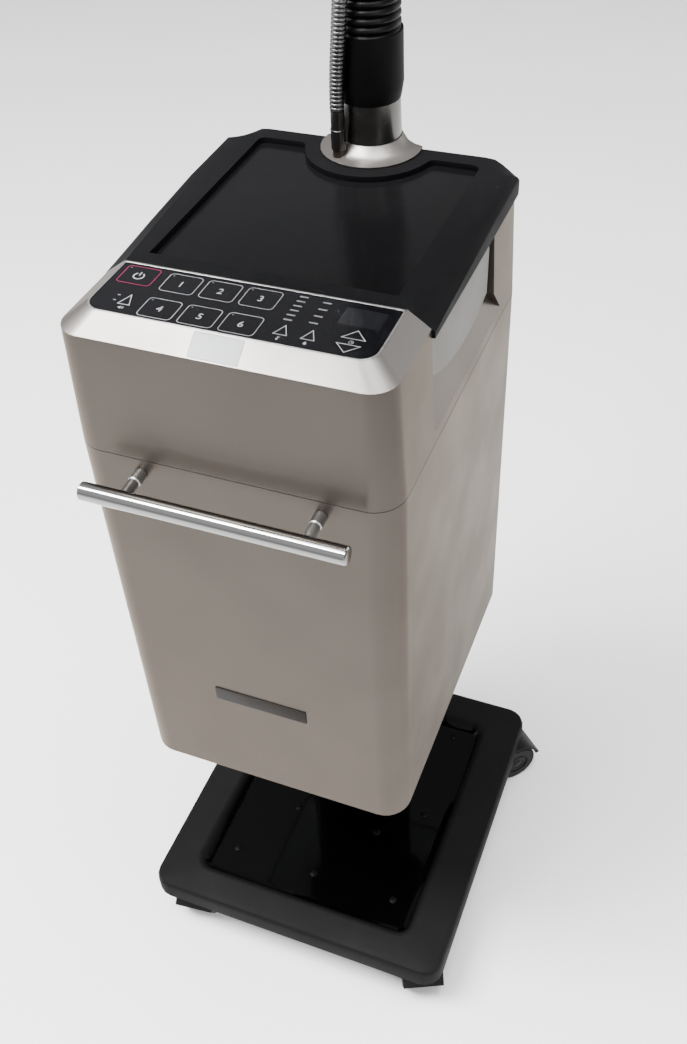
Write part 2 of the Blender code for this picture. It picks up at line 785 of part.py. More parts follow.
def build_rocker(mats, wall_block, back, inside):
    """Mains rocker in its frame, turning on a short pin."""
    frame = place(
        "rocker_frame",
        wall_block(
            ROCKER_WIDTH + 2 * ROCKER_FRAME,
            ROCKER_HEIGHT + 2 * ROCKER_FRAME,
            0.002,
            ROCKER_X,
            ROCKER_Z,
            back - ROCKER_DEPTH - 2 * ROCKER_FRAME,
            back + ROCKER_FRAME_PROUD,
        ),
        mats["black_plastic"],
    )
    room = block(
        (ROCKER_X - ROCKER_WIDTH / 2, back - ROCKER_DEPTH - ROCKER_FRAME, ROCKER_Z - ROCKER_HEIGHT / 2),
        (ROCKER_X + ROCKER_WIDTH / 2, back + 4 * ROCKER_FRAME_PROUD, ROCKER_Z + ROCKER_HEIGHT / 2),
    )
    axis_y = back - ROCKER_FRAME
    reach = ROCKER_WIDTH / 2 + ROCKER_FRAME / 2
    sockets = rod(
        (ROCKER_X - reach - CLEAR, axis_y, ROCKER_Z),
        (ROCKER_X + reach + CLEAR, axis_y, ROCKER_Z),
        ROCKER_PIN + CLEAR,
        12,
    )
    combine(frame, "DIFFERENCE", tool("rocker_room", room), tool("rocker_sockets", sockets))
    half = ROCKER_HEIGHT / 2 - SLIDE_GAP
    wide = ROCKER_WIDTH / 2 - CLEAR
    section = [
        (-half, back + 0.2 * ROCKER_PROUD - axis_y),
        (0.0, back + 0.75 * ROCKER_PROUD - axis_y),
        (half, back + 0.2 * ROCKER_PROUD - axis_y),
        (half * 0.7, -ROCKER_DEPTH * 0.45),
        (-half * 0.7, -ROCKER_DEPTH * 0.45),
    ]
    tilt = math.radians(-ROCKER_TURN / 2)
    turn_z, turn_y = math.cos(tilt), math.sin(tilt)
    turned_section = [(z * turn_z - y * turn_y, z * turn_y + y * turn_z) for z, y in section]
    ends = (ROCKER_X - wide, ROCKER_X + wide)
    rings = [[(x, axis_y + y, ROCKER_Z + z) for z, y in turned_section] for x in ends]
    rocker = place("rocker_switch", loft(rings), mats["black_plastic"], (ROCKER_X, axis_y, ROCKER_Z))
    pin = rod((ROCKER_X - reach, axis_y, ROCKER_Z), (ROCKER_X + reach, axis_y, ROCKER_Z), ROCKER_PIN, 12)
    combine(rocker, "UNION", tool("rocker_pin", pin))


def build_spine(mats, back):
    """Half-round cover down the rear face, under the hose collar."""
    def half_round(radius, z, squash=1.0, steps=14):
        front = back + CLEAR
        first = math.asin((front - HOSE_Y) / radius)
        points = []
        for i in range(steps + 1):
            a = first + (math.pi - 2 * first) * i / steps
            y = HOSE_Y + radius * math.sin(a)
            points.append((radius * math.cos(a), front + (y - front) * squash, z))
        return points

    top = TOP_Z - CLEAR
    spine = place(
        "hose_spine",
        loft(
            [
                half_round(SPINE_RADIUS, SPINE_BOTTOM, 0.12),
                half_round(SPINE_RADIUS, SPINE_BOTTOM + SPINE_TAPER),
                half_round(SPINE_RADIUS, top),
            ]
        ),
        mats["silver_paint"],
    )
    bore = turned(
        [
            (SPINE_RADIUS - SPINE_WALL, SPINE_BOTTOM + SPINE_TAPER + SPINE_WALL),
            (SPINE_RADIUS - SPINE_WALL, top + SPINE_WALL),
        ],
        (0.0, HOSE_Y),
        28,
    )
    combine(spine, "DIFFERENCE", tool("spine_bore", bore))


def wall_x(z):
    """Outer face of the drafted side wall at a height."""
    return UPPER_HALF + UPPER_DRAFT * (BEZEL_Z - z) / (BEZEL_Z - SEAM_Z)


def bay_corner():
    """Solid corner behind the tank bay, and the hollow that lets the scoop run out into it."""
    lean = (wall_x(SILL_Z) - SCOOP_TOP_X) / (SCOOP_TOP_Z - SILL_Z)
    ledge_x = wall_x(SILL_Z) - lean * (LEDGE_Z - SILL_Z)
    low = (ledge_x - 2 * BODY_WALL, BAY_REAR, SILL_Z - 1.2 * BODY_WALL)
    high = (wall_x(LEDGE_Z) - BODY_WALL / 3, SILL_REAR + 1.3 * BODY_WALL, LEDGE_Z + BODY_WALL)
    front = BAY_REAR - BODY_WALL
    rise = BODY_WALL * (LEDGE_Z - SILL_Z) / (SILL_REAR - BAY_REAR)
    wedge = [
        (wall_x(SILL_Z), front, SILL_Z),
        (wall_x(SILL_Z), SILL_REAR, SILL_Z),
        (ledge_x - lean * rise, front, LEDGE_Z + rise),
    ]
    return block(low, high), loft([wedge, [(BODY_WIDTH, y, z) for x, y, z in wedge]])


def build_upper(mats):
    """Upper housing with its bezel, tank bay and panel seat, and the tray on top."""
    low = SEAM_Z + SEAM_GAP / 2
    draft = UPPER_DRAFT
    inner_run = draft + BODY_WALL
    slope = (TOP_Z - BEZEL_Z) / BEZEL_WIDTH
    deck_z = TOP_Z - DECK
    run = BODY_WALL * math.hypot(1.0, slope) / slope
    deck_inset = draft + BEZEL_WIDTH - DECK / slope + run
    inner_bezel = BEZEL_Z - (run - BODY_WALL) * slope
    rings = [
        at(body_outline(draft + BEZEL_WIDTH, draft + BEZEL_WIDTH, inner_run, BEZEL_TOP_CORNER), TOP_Z),
        at(body_outline(draft, draft, draft, BODY_CORNER - draft), BEZEL_Z),
        at(body_outline(0.0, 0.0, 0.0, BODY_CORNER), low),
        at(body_outline(BODY_WALL, BODY_WALL, BODY_WALL, BODY_CORNER - BODY_WALL), low),
        at(body_outline(inner_run, inner_run, inner_run, BODY_CORNER - inner_run), inner_bezel),
        at(body_outline(deck_inset, deck_inset, inner_run + BODY_WALL, BEZEL_TOP_CORNER), deck_z),
    ]
    housing = place("upper_housing", loft(rings), mats["silver_paint"])
    wide = BODY_WIDTH
    cut_tray = block((-wide, PANEL_REAR, SEAT_Z), (wide, BODY_REAR + wide, TOP_Z + wide))
    bay = block((SCOOP_TOP_X - 2 * BODY_WALL, BAY_FRONT, SILL_Z), (wide, BAY_REAR, TOP_Z + wide))
    pocket_z = PANEL_TOP - PANEL_THICK - CLEAR
    rim = (PANEL_CORNER, PANEL_REAR_CORNER, PANEL_REAR_CORNER, PANEL_CORNER)

    def panel_outline(shrink):
        radii = tuple(max(r - shrink, 0.0008) for r in rim)
        return oblong(
            -FACE_HALF + shrink,
            FACE_HALF - shrink,
            FACE_FRONT + shrink,
            FACE_REAR - shrink,
            radii,
            5,
        )

    def lining_ring(z):
        x0, x1 = SCOOP_TOP_X - BODY_WALL, wall_x(z) - BODY_WALL / 3
        y0, y1 = BAY_REAR - BODY_WALL / 3, BAY_REAR + BODY_WALL
        return [(x0, y0, z), (x1, y0, z), (x1, y1, z), (x0, y1, z)]

    corner, hollow = bay_corner()
    lining = loft([lining_ring(LEDGE_Z), lining_ring(SEAT_Z + BODY_WALL)])
    combine(housing, "UNION", tool("bay_corner", corner), tool("bay_lining", lining))
    pocket = prism(panel_outline(0.0), pocket_z, TOP_Z + DECK)
    through = prism(panel_outline(PANEL_LEDGE), deck_z - DECK, TOP_Z)
    combine(
        housing,
        "DIFFERENCE",
        tool("cut_tray", cut_tray),
        tool("cut_bay", bay),
        tool("cut_corner", hollow),
        tool("cut_pocket", pocket),
        tool("cut_through", through),
    )
    build_lens(mats, housing)
    build_panel(mats, panel_outline, deck_z)
    build_tray(mats)
    build_tank(mats)


def build_lens(mats, housing):
    """Signal lens let into the front slope of the bezel."""
    rise = TOP_Z - BEZEL_Z
    tilt = math.atan2(rise, BEZEL_WIDTH)
    centre = Vector((LENS_X, BODY_FRONT + UPPER_DRAFT + BEZEL_WIDTH / 2, (BEZEL_Z + TOP_Z) / 2))
    lay = Matrix.Translation(centre) @ Matrix.Rotation(tilt, 4, "X")

    def slab(grow, top, bottom):
        bm = prism(rect(LENS_WIDTH + 2 * grow, LENS_LENGTH + 2 * grow, 0.0015, steps=2), bottom, top)
        bmesh.ops.transform(bm, matrix=lay, verts=bm.verts)
        return bm

    combine(housing, "DIFFERENCE", tool("cut_lens", slab(CLEAR, BODY_WALL, -3 * BODY_WALL)))
    place("signal_lens", slab(0.0, 0.0, -LENS_THICK), mats["lens_white"])


def key_outlines():
    """Outline of every key on the panel, by name; widths and places follow the panel's width."""
    spread = FACE_HALF / LAYOUT_HALF
    width = KEY_WIDTH * spread
    start = START_WIDTH * spread
    keys = {}
    start_x = -FACE_HALF + START_INSET * spread + start / 2
    start_y = FACE_REAR - KEY_REACH - START_DEPTH / 2
    keys["key_start"] = rect(start, START_DEPTH, KEY_CORNER, (start_x, start_y), 2)
    rows = (FACE_REAR - KEY_REACH - KEY_STEP_BACK - KEY_DEPTH / 2, FACE_FRONT + KEY_REACH + KEY_DEPTH / 2)
    first_x = start_x + start / 2 + START_SPACE * spread + width / 2
    for row, y in enumerate(rows):
        for column in range(3):
            centre = (first_x + column * (width + KEY_SPACE * spread), y)
            name = "key_program_%d" % (row * 3 + column + 1)
            keys[name] = rect(width, KEY_DEPTH, KEY_CORNER, centre, 2)
    front = FACE_FRONT
    arrows = {
        "key_volume": (-0.1005, front + 0.0222, 0.0142, 0.0190, 1),
        "key_temperature": (0.0462, front + 0.0204, 0.0152, 0.0172, 1),
        "key_mist": (0.0707, front + 0.0204, 0.0150, 0.0172, 1),
        "key_time_up": (0.1062, front + 0.0316, 0.0250, 0.0152, 1),
        "key_time_down": (0.1053, front + 0.0104, 0.0250, 0.0140, -1),
    }
    for name, (x, y, wide, depth, way) in arrows.items():
        tip = (x * spread, y + way * depth / 2)
        foot = y - way * depth / 2
        half = way * wide * spread / 2
        corners = [tip, (tip[0] - half, foot), (tip[0] + half, foot)]
        keys[name] = blunt(corners, ARROW_CORNER)
    return keys


def blunt(corners, cut):
    """Triangle with its points cut off."""
    points = []
    count = len(corners)
    for i in range(count):
        here = Vector(corners[i])
        for other in (corners[i - 1], corners[(i + 1) % count]):
            points.append(tuple(here + (Vector(other) - here).normalized() * cut))
    return points


def grown(outline, amount):
    """Move an outline outwards by the same amount on every side."""
    count = len(outline)
    area = sum(
        outline[i][0] * outline[(i + 1) % count][1] - outline[(i + 1) % count][0] * outline[i][1]
        for i in range(count)
    )
    way = 1.0 if area > 0 else -1.0
    points = []
    for i in range(count):
        before = (Vector(outline[i]) - Vector(outline[i - 1])).normalized()
        after = (Vector(outline[(i + 1) % count]) - Vector(outline[i])).normalized()
        n0 = Vector((before.y, -before.x)) * way
        n1 = Vector((after.y, -after.x)) * way
        points.append(tuple(Vector(outline[i]) + (n0 + n1) * (amount / (1.0 + n0.dot(n1)))))
    return points


def build_panel(mats, panel_outline, deck_z):
    """Panel overlay with its keys and display, and the circuit board under it."""
    bottom = PANEL_TOP - PANEL_THICK
    panel = place("control_panel", prism(panel_outline(CLEAR), bottom, PANEL_TOP), mats["black_gloss"])
    flange_top = bottom - CLEAR
    for name, outline in key_outlines().items():
        hole = prism(grown(outline, KEY_GAP), bottom - PANEL_THICK, PANEL_TOP + PANEL_THICK)
        combine(panel, "DIFFERENCE", tool("hole_" + name, hole))
        wide = grown(outline, KEY_FLANGE)
        centre = tuple(sum(p[i] for p in outline) / len(outline) for i in range(2)) + (PANEL_TOP,)
        key = loft(
            [
                at(outline, PANEL_TOP),
                at(outline, flange_top),
                at(wide, flange_top),
                at(wide, flange_top - KEY_FLANGE_THICK),
            ]
        )
        place(name, key, mats["black_gloss"], centre)
    spread = FACE_HALF / LAYOUT_HALF
    centre = (FACE_HALF - DISPLAY_FROM_RIGHT * spread, FACE_REAR - DISPLAY_FROM_REAR)
    window = rect(DISPLAY_WIDTH * spread, DISPLAY_DEPTH, 0.0015, centre, 2)
    hole = prism(grown(window, CLEAR), bottom - PANEL_THICK, PANEL_TOP + PANEL_THICK)
    combine(panel, "DIFFERENCE", tool("hole_display", hole))
    place("display_window", prism(window, bottom, PANEL_TOP - CLEAR), mats["display_grey"])
    top = deck_z - CLEAR
    outline = panel_outline(PANEL_LEDGE - BOARD_MARGIN)
    place("control_board", prism(outline, top - BOARD_THICK, top), mats["board_green"])


def build_tray(mats):
    """Black tray with a sloping border, a dished middle and a bay round the hose collar."""
    wall = TRAY_WALL
    slope = (TOP_Z - BEZEL_Z) / BEZEL_WIDTH
    corner_y = BODY_REAR - TRAY_CUT_Y
    corner_x = BODY_HALF - TRAY_CUT_X
    bottom = SEAT_Z + CLEAR
    reach = tuple(TRAY_FRONT + part * (corner_y - TRAY_FRONT) for part in (0.0, 0.36, 0.70))
    blend = (0.0, 0.55, 0.95)

    def ring(at_front, at_rear, forward=0.0, bow=0.0):
        """Ring from (inset, height) at the front and at the rear; the rear one has a third, end inset.

        bow says how far the rear corners go from the slanting cut of the crest to the cabinet's round.
        """
        side, height, end = at_rear
        half = []
        for y, t in zip(reach, blend):
            inset = at_front[0] + (side - at_front[0]) * t
            half.append((BODY_HALF - inset, y, at_front[1] + (height - at_front[1]) * t))
        half[0] = (half[0][0], half[0][1] + forward, half[0][2])
        start = Vector((BODY_HALF - side, corner_y - 0.3 * side))
        finish = Vector((corner_x - end, TRAY_REAR - end))
        middle_x = BODY_HALF - REAR_CORNER
        middle_y = TRAY_REAR - REAR_CORNER
        for k in range(5):
            a = math.radians(22.5 * k)
            arc_x = middle_x + (REAR_CORNER - side) * math.cos(a)
            arc_y = middle_y + (REAR_CORNER - end) * math.sin(a)
            arc = Vector((arc_x, arc_y))
            spot = start.lerp(finish, k / 4).lerp(arc, bow)
            sunk = height - bow * TRAY_CORNER_SINK * math.sin(2 * a)
            half.append((spot.x, spot.y, max(sunk, bottom)))
        return half + [(-x, y, z) for x, y, z in reversed(half)]

    crest = UPPER_DRAFT + BEZEL_WIDTH
    run = crest - 2 * TRAY_EDGE
    edge_z = TOP_Z - run * slope
    middle = (crest + 2 * TRAY_EDGE) / 2
    rear_z = TOP_Z - TRAY_EDGE_DROP
    under = TOP_Z - wall
    inner = (SEAT_LEDGE, bottom, SEAT_LEDGE)
    rings = [
        ring((crest, TOP_Z), (TRAY_CREST, TOP_Z, TRAY_REAR_CREST)),
        ring(
            (middle, (TOP_Z + edge_z) / 2),
            (TRAY_CREST / 2.4, TOP_Z - TRAY_EDGE_DROP / 4, TRAY_EDGE),
            bow=0.5,
        ),
        ring((2 * TRAY_EDGE, edge_z), (TRAY_EDGE, rear_z + TRAY_EDGE, TRAY_EDGE / 3), bow=0.95),
        ring((TRAY_EDGE, edge_z - TRAY_EDGE), (0.0, rear_z - TRAY_EDGE, 0.0), bow=1.0),
        ring((TRAY_EDGE, bottom), (0.0, bottom, 0.0), bow=1.0),
        ring((SEAT_LEDGE, bottom), inner, 2 * wall),
        ring((crest + wall, under), (TRAY_CREST + 3 * wall, under, TRAY_REAR_CREST + 3 * wall), 2 * wall),
    ]
    tray = place("top_tray", loft(rings), mats["black_satin"])
    dish = [
        (-TRAY_RECESS_HALF, TRAY_FRONT + TRAY_RECESS_FRONT),
        (TRAY_RECESS_HALF, TRAY_FRONT + TRAY_RECESS_FRONT),
    ]
    rear = BODY_REAR - TRAY_RECESS_REAR
    corner = TRAY_RECESS_CORNER
    bend_x = TRAY_RECESS_HALF - corner
    for s in range(4):
        a = math.radians(30 * s)
        dish.append((bend_x + corner * math.cos(a), rear - corner + corner * math.sin(a)))
    fillet = TRAY_RECESS_FILLET
    first = math.asin((rear - fillet - HOSE_Y) / (TRAY_RECESS_ARC + fillet))
    turn = math.radians(90) + first
    far = (TRAY_RECESS_ARC + fillet) * math.cos(first)
    steps = 14
    for i in range(3):
        a = math.radians(90) + turn * i / 3
        dish.append((far + fillet * math.cos(a), rear - fillet + fillet * math.sin(a)))
    for i in range(steps + 1):
        a = first - (math.pi + 2 * first) * i / steps
        dish.append((TRAY_RECESS_ARC * math.cos(a), HOSE_Y + TRAY_RECESS_ARC * math.sin(a)))
    for i in range(3):
        a = math.radians(90) - turn * (2 - i) / 3
        dish.append((-far + fillet * math.cos(a), rear - fillet + fillet * math.sin(a)))
    for s in range(4):
        a = math.radians(90 + 30 * s)
        dish.append((-bend_x + corner * math.cos(a), rear - corner + corner * math.sin(a)))
    floor_z = TOP_Z - TRAY_RECESS
    pan = prism(grown(dish, wall), floor_z - wall, under + wall / 3)
    hollow = prism(dish, floor_z, TOP_Z + TRAY_RECESS)
    pipe = [(COLLAR_BORE, bottom - wall), (COLLAR_BORE, TOP_Z + wall)]
    notch = turned(pipe, (0.0, HOSE_Y), 24)
    room = SPINE_RADIUS + CLEAR
    gate = block((-room, BODY_REAR, bottom - wall), (room, TRAY_REAR + wall, TOP_Z + wall))
    combine(tray, "UNION", tool("tray_pan", pan))
    combine(tray, "DIFFERENCE", tool("tray_hollow", hollow), tool("tray_notch", notch))
    combine(tray, "DIFFERENCE", tool("tray_gate", gate))


def build_tank(mats):
    """Scoop and dock in the cabinet, and the tank with its fascia that pulls out sideways."""
    sill_x = wall_x(SILL_Z)
    y0 = BAY_FRONT + CLEAR
    y1 = BAY_REAR - CLEAR
    foot_z = SILL_Z + CLEAR
    section = [
        (sill_x, foot_z),
        (SCOOP_TOP_X, SCOOP_TOP_Z),
        (SCOOP_TOP_X - SCOOP_WALL, SCOOP_TOP_Z),
        (sill_x - BODY_WALL, foot_z),
    ]
    place(
        "tank_scoop",
        loft([[(x, y, z) for x, z in section] for y in (y0, y1)]),
        mats["silver_paint"],
    )
    dock_x1 = SCOOP_TOP_X - SCOOP_WALL - CLEAR
    tank_x1 = SCOOP_TOP_X
    tank_x0 = tank_x1 - TANK_LENGTH
    dock_x0 = tank_x0 - DOCK_ROOM
    floor_top = SCOOP_TOP_Z
    floor_low = floor_top - DOCK_WALL
    tank_top = TANK_TOP
    dock = place(
        "tank_dock",
        block((dock_x0, y0, floor_low), (dock_x1, y1, tank_top)),
        mats["black_plastic"],
    )
    room = block(
        (dock_x0 + DOCK_WALL, y0 + DOCK_WALL, floor_top),
        (dock_x1 + DOCK_WALL, y1 - DOCK_WALL, tank_top + DOCK_WALL),
    )
    combine(dock, "DIFFERENCE", tool("dock_room", room))
    tank_z = floor_top + CLEAR
    group = empty("tank_slide", (tank_x1, (TANK_FRONT + TANK_REAR) / 2, tank_z))
    shell = TANK_CORNER
    tank = place(
        "water_tank",
        prism(oblong(tank_x0, tank_x1, TANK_FRONT, TANK_REAR, (shell,) * 4), tank_z, TANK_TOP - 2 * CLEAR),
        mats["tank_clear"],
        tuple(group.location),
        group,
    )
    neck_x = (tank_x0 + tank_x1) / 2 - TANK_LENGTH / 4
    neck_y = (TANK_FRONT + TANK_REAR) / 2
    room = TANK_NECK_RADIUS + SLIDE_GAP
    well = turned([(room, TANK_TOP - 0.014), (room, TANK_TOP + 0.010)], (neck_x, neck_y), 20)
    combine(tank, "DIFFERENCE", tool("tank_well", well))
    cap = turned(
        [
            (TANK_NECK_RADIUS, TANK_TOP - 0.014 + CLEAR),
            (TANK_NECK_RADIUS, TANK_TOP - 0.003),
            (TANK_NECK_RADIUS - 0.002, TANK_TOP - 0.001),
        ],
        (neck_x, neck_y),
        20,
    )
    place("tank_cap", cap, mats["black_plastic"], tuple(group.location), group)
    face_x1 = UPPER_HALF - FASCIA_INSET
    face_x0 = face_x1 - FASCIA_THICK
    top = TANK_TOP
    r = FASCIA_TOP_CORNER
    outline = [(FASCIA_FRONT, top)]
    for k in range(6):
        a = math.radians(90 - 18 * k)
        outline.append((FASCIA_REAR - r + r * math.cos(a), top - r + r * math.sin(a)))
    rear_end = FASCIA_REAR - FASCIA_THICK / 2
    for k in range(9):
        y = rear_end + (FASCIA_FRONT - rear_end) * k / 8
        part = (y - FASCIA_BELLY_Y) / (FASCIA_FRONT - FASCIA_BELLY_Y)
        outline.append((y, FASCIA_BOTTOM + FASCIA_RISE * part * part))
    fascia = place(
        "tank_fascia",
        loft([[(x, y, z) for y, z in outline] for x in (face_x0, face_x1)]),
        mats["tank_grey"],
        tuple(group.location),
        group,
    )
    grip = block(
        (tank_x1 + CLEAR, TANK_FRONT + shell, FASCIA_GRIP_Z),
        (face_x0 + FASCIA_THICK / 2, TANK_REAR - shell, TANK_TOP - 2 * CLEAR),
    )
    combine(fascia, "UNION", tool("fascia_grip", grip))


def build_handle(mats):
    """Bar handle on two stepped posts."""
    axis_y = BODY_FRONT - HANDLE_STANDOFF
    half = HANDLE_LENGTH / 2
    edge = 0.0012
    bar = loft(
        [
            circle(HANDLE_RADIUS - edge, -half, steps=24),
            circle(HANDLE_RADIUS, -half + edge, steps=24),
            circle(HANDLE_RADIUS, half - edge, steps=24),
            circle(HANDLE_RADIUS - edge, half, steps=24),
        ]
    )
    lay = Matrix.Translation((0.0, axis_y, HANDLE_Z)) @ Matrix.Rotation(math.radians(90), 4, "Y")
    bmesh.ops.transform(bar, matrix=lay, verts=bar.verts)
    place("handle_bar", bar, mats["chrome"])
    saddle = tool(
        "handle_saddle",
        rod(
            (-HANDLE_LENGTH, axis_y, HANDLE_Z),
            (HANDLE_LENGTH, axis_y, HANDLE_Z),
            HANDLE_RADIUS + CLEAR,
            24,
        ),
    )
    for label, x in (("left", -POST_SPACING / 2), ("right", POST_SPACING / 2)):
        post = loft(
            [
                circle(POST_FOOT_RADIUS, CLEAR, steps=20),
                circle(POST_FOOT_RADIUS, POST_FOOT_LENGTH, steps=20),
                circle(POST_RADIUS, POST_FOOT_LENGTH + 0.0012, steps=20),
                circle(POST_RADIUS, HANDLE_STANDOFF, steps=20),
            ]
        )
        lay = Matrix.Translation((x, BODY_FRONT, HANDLE_Z)) @ Matrix.Rotation(math.radians(90), 4, "X")
        bmesh.ops.transform(post, matrix=lay, verts=post.verts)
        combine(place("handle_post_" + label, post, mats["chrome"]), "DIFFERENCE", saddle)


def sweep(path, radii, sides, bore=None, bore_path=None):
    """Tube along a path that lies in a plane of constant X; each point has its radius."""
    def frames(points):
        rings = []
        for i, p in enumerate(points):
            ahead = Vector(points[min(i + 1, len(points) - 1)]) - Vector(points[max(i - 1, 0)])
            side = Vector((1, 0, 0))
            rings.append((Vector(p), side, ahead.normalized().cross(side).normalized()))
        return rings

    def ring(frame, radius):
        p, u, v = frame
        turns = [2 * math.pi * (k + 0.5) / sides for k in range(sides)]
        return [tuple(p + u * (radius * math.cos(a)) + v * (radius * math.sin(a))) for a in turns]

    outer = [ring(f, r) for f, r in zip(frames(path), radii)]
    if bore is None:
        return loft(outer)
    inner = [ring(f, bore) for f in reversed(frames(bore_path))]
    return loft(outer + inner, closed=True)


def arm_path(x, y_shift, start_z, end_z, bend, spacing, lead, tail):
    """Points up the mast, over the bend and down again, with straight ends left plain."""
    y_start = HOSE_Y + y_shift
    rise = HOSE_RISE_Z - start_z
    drop = HOSE_RISE_Z - end_z
    length = rise + math.pi * bend + drop
    count = max(2, round((length - lead - tail) / spacing))
    stations = [0.0] + [lead + (length - lead - tail) * i / count for i in range(count + 1)] + [length]

    def point(s):
        if s <= rise:
            return (x, y_start, start_z + s)
        if s <= rise + math.pi * bend:
            a = (s - rise) / bend
            return (x, y_start - bend + bend * math.cos(a), HOSE_RISE_Z + bend * math.sin(a))
        return (x, y_start - 2 * bend, HOSE_RISE_Z - (s - rise - math.pi * bend))

    return [point(s) for s in stations]


def ribbed(points, crest, valley):
    """Radii that rise and fall from point to point, plain at both straight ends."""
    radii = [valley if i % 2 else crest for i in range(len(points))]
    radii[0] = radii[1] = valley
    radii[-1] = radii[-2] = valley
    return radii


def build_arm(mats):
    """Collar, swivel ferrule, cuff, ribbed hose, conduit and the coupling at the far end."""
    centre = (0.0, HOSE_Y)
    collar = place(
        "hose_collar",
        turned(
            [
                (COLLAR_BORE, FLANGE_Z),
                (COLLAR_RADIUS, FLANGE_Z),
                (COLLAR_RADIUS, FLANGE_Z + COLLAR_EDGE),
                (COLLAR_FLARE_RADIUS, COLLAR_FLARE_Z),
                (COLLAR_SHOULDER_RADIUS, COLLAR_SHOULDER_Z),
                (COLLAR_NECK_RADIUS, COLLAR_NECK_Z),
                (COLLAR_BORE, COLLAR_NECK_Z),
            ],
            centre,
            32,
            closed=True,
        ),
        mats["silver_paint"],
    )
    behind = block(
        (-2 * COLLAR_RADIUS, TRAY_REAR, FLANGE_Z - COLLAR_EDGE),
        (2 * COLLAR_RADIUS, TRAY_REAR + COLLAR_RADIUS, COLLAR_NECK_Z + COLLAR_EDGE),
    )
    neck = turned(
        [
            (COLLAR_BORE, FLANGE_Z),
            (SPINE_RADIUS, FLANGE_Z),
            (COLLAR_NECK_FOOT, COLLAR_SHOULDER_Z),
            (COLLAR_NECK_RADIUS, COLLAR_NECK_Z),
            (COLLAR_BORE, COLLAR_NECK_Z),
        ],
        centre,
        32,
        closed=True,
    )
    foot = (CONDUIT_FOOT_X, HOSE_Y + CONDUIT_FOOT_Y)
    boss = turned(
        [(CONDUIT_BOSS_RADIUS, FLANGE_Z + COLLAR_EDGE / 2), (CONDUIT_BOSS_RADIUS, CONDUIT_BOSS_Z)],
        foot,
        20,
    )
    seat_radius = CONDUIT_FERRULE_RADIUS + CLEAR
    seat = turned([(seat_radius, CONDUIT_BOSS_Z), (seat_radius, COLLAR_NECK_Z + COLLAR_EDGE)], foot, 20)
    combine(collar, "UNION", tool("conduit_boss", boss))
    combine(collar, "DIFFERENCE", tool("collar_behind", behind), tool("conduit_seat", seat))
    combine(collar, "UNION", tool("collar_neck", neck))
    arm = empty("arm_swivel", (0.0, HOSE_Y, FERRULE_Z))
    pivot = tuple(arm.location)
    top = FERRULE_Z + FERRULE_HEIGHT
    spigot = COLLAR_BORE - CLEAR
    ferrule = turned(
        [
            (FERRULE_BORE, FERRULE_Z - FERRULE_SPIGOT),
            (spigot, FERRULE_Z - FERRULE_SPIGOT),
            (spigot, FERRULE_Z),
            (FERRULE_RADIUS, FERRULE_Z),
            (FERRULE_TOP_RADIUS, top),
            (FERRULE_BORE, top),
        ],
        centre,
        28,
        closed=True,
    )
    place("swivel_ferrule", ferrule, mats["dark_chrome"], pivot, arm)
    socket_z = CUFF_TOP - CUFF_SOCKET_DEPTH
    cuff = turned(
        [
            (HOSE_BORE, CUFF_Z),
            (CUFF_LOWER_RADIUS, CUFF_Z),
            (CUFF_RADIUS, CUFF_Z + CUFF_FLARE),
            (CUFF_RADIUS, CUFF_TOP),
            (CUFF_SOCKET, CUFF_TOP),
            (CUFF_SOCKET, socket_z),
            (HOSE_BORE, socket_z),
        ],
        centre,
        28,
        closed=True,
    )
    place("hose_cuff", cuff, mats["rubber"], pivot, arm)
    lead = max(CUFF_SOCKET_DEPTH, 2 * HOSE_RADIUS)
    tail = 2 * HOSE_RADIUS
    path = arm_path(0.0, 0.0, HOSE_START_Z, HOSE_END_Z, HOSE_BEND, HOSE_RIB_PITCH / 2, lead, tail)
    plain = arm_path(0.0, 0.0, HOSE_START_Z, HOSE_END_Z, HOSE_BEND, HOSE_BORE, lead, tail)
    hose = sweep(path, ribbed(path, HOSE_RADIUS, HOSE_VALLEY), HOSE_SIDES, HOSE_BORE, plain)
    place("arm_hose", hose, mats["rubber"], pivot, arm)
    ferrule_top = CONDUIT_BOSS_Z + CLEAR + CONDUIT_FERRULE_HEIGHT
    place(
        "conduit_ferrule",
        turned(
            [
                (CONDUIT_FERRULE_RADIUS, CONDUIT_BOSS_Z + CLEAR),
                (CONDUIT_FERRULE_RADIUS, CONDUIT_BOSS_Z + CONDUIT_FERRULE_STEP),
                (CONDUIT_FERRULE_UPPER, CONDUIT_BOSS_Z + CONDUIT_FERRULE_STEP),
                (CONDUIT_FERRULE_UPPER, ferrule_top),
            ],
            foot,
            20,
        ),
        mats["dark_chrome"],
    )
    end_z = COUPLING_TOP + CLEAR
    tip = 2 * CONDUIT_RADIUS
    inner_bend = HOSE_BEND + CONDUIT_Y
    wire = arm_path(
        CONDUIT_X, CONDUIT_Y, ferrule_top + CLEAR, end_z, inner_bend, CONDUIT_RIB_PITCH / 2, tip, tip
    )
    lean_from = ferrule_top + CLEAR
    leaning = []
    for x, y, z in wire:
        t = min(max((z - lean_from) / (CONDUIT_LEAN_Z - lean_from), 0.0), 1.0)
        lean = 1 - t * t * (3 - 2 * t) if y > HOSE_Y - HOSE_BEND else 0.0
        leaning.append(
            (x + (CONDUIT_FOOT_X - CONDUIT_X) * lean, y + (CONDUIT_FOOT_Y - CONDUIT_Y) * lean, z)
        )
    wire = leaning
    place(
        "arm_conduit",
        sweep(wire, ribbed(wire, CONDUIT_RADIUS, CONDUIT_VALLEY), 8),
        mats["chrome"],
    )
    build_coupling(mats, arm, pivot)
    return arm


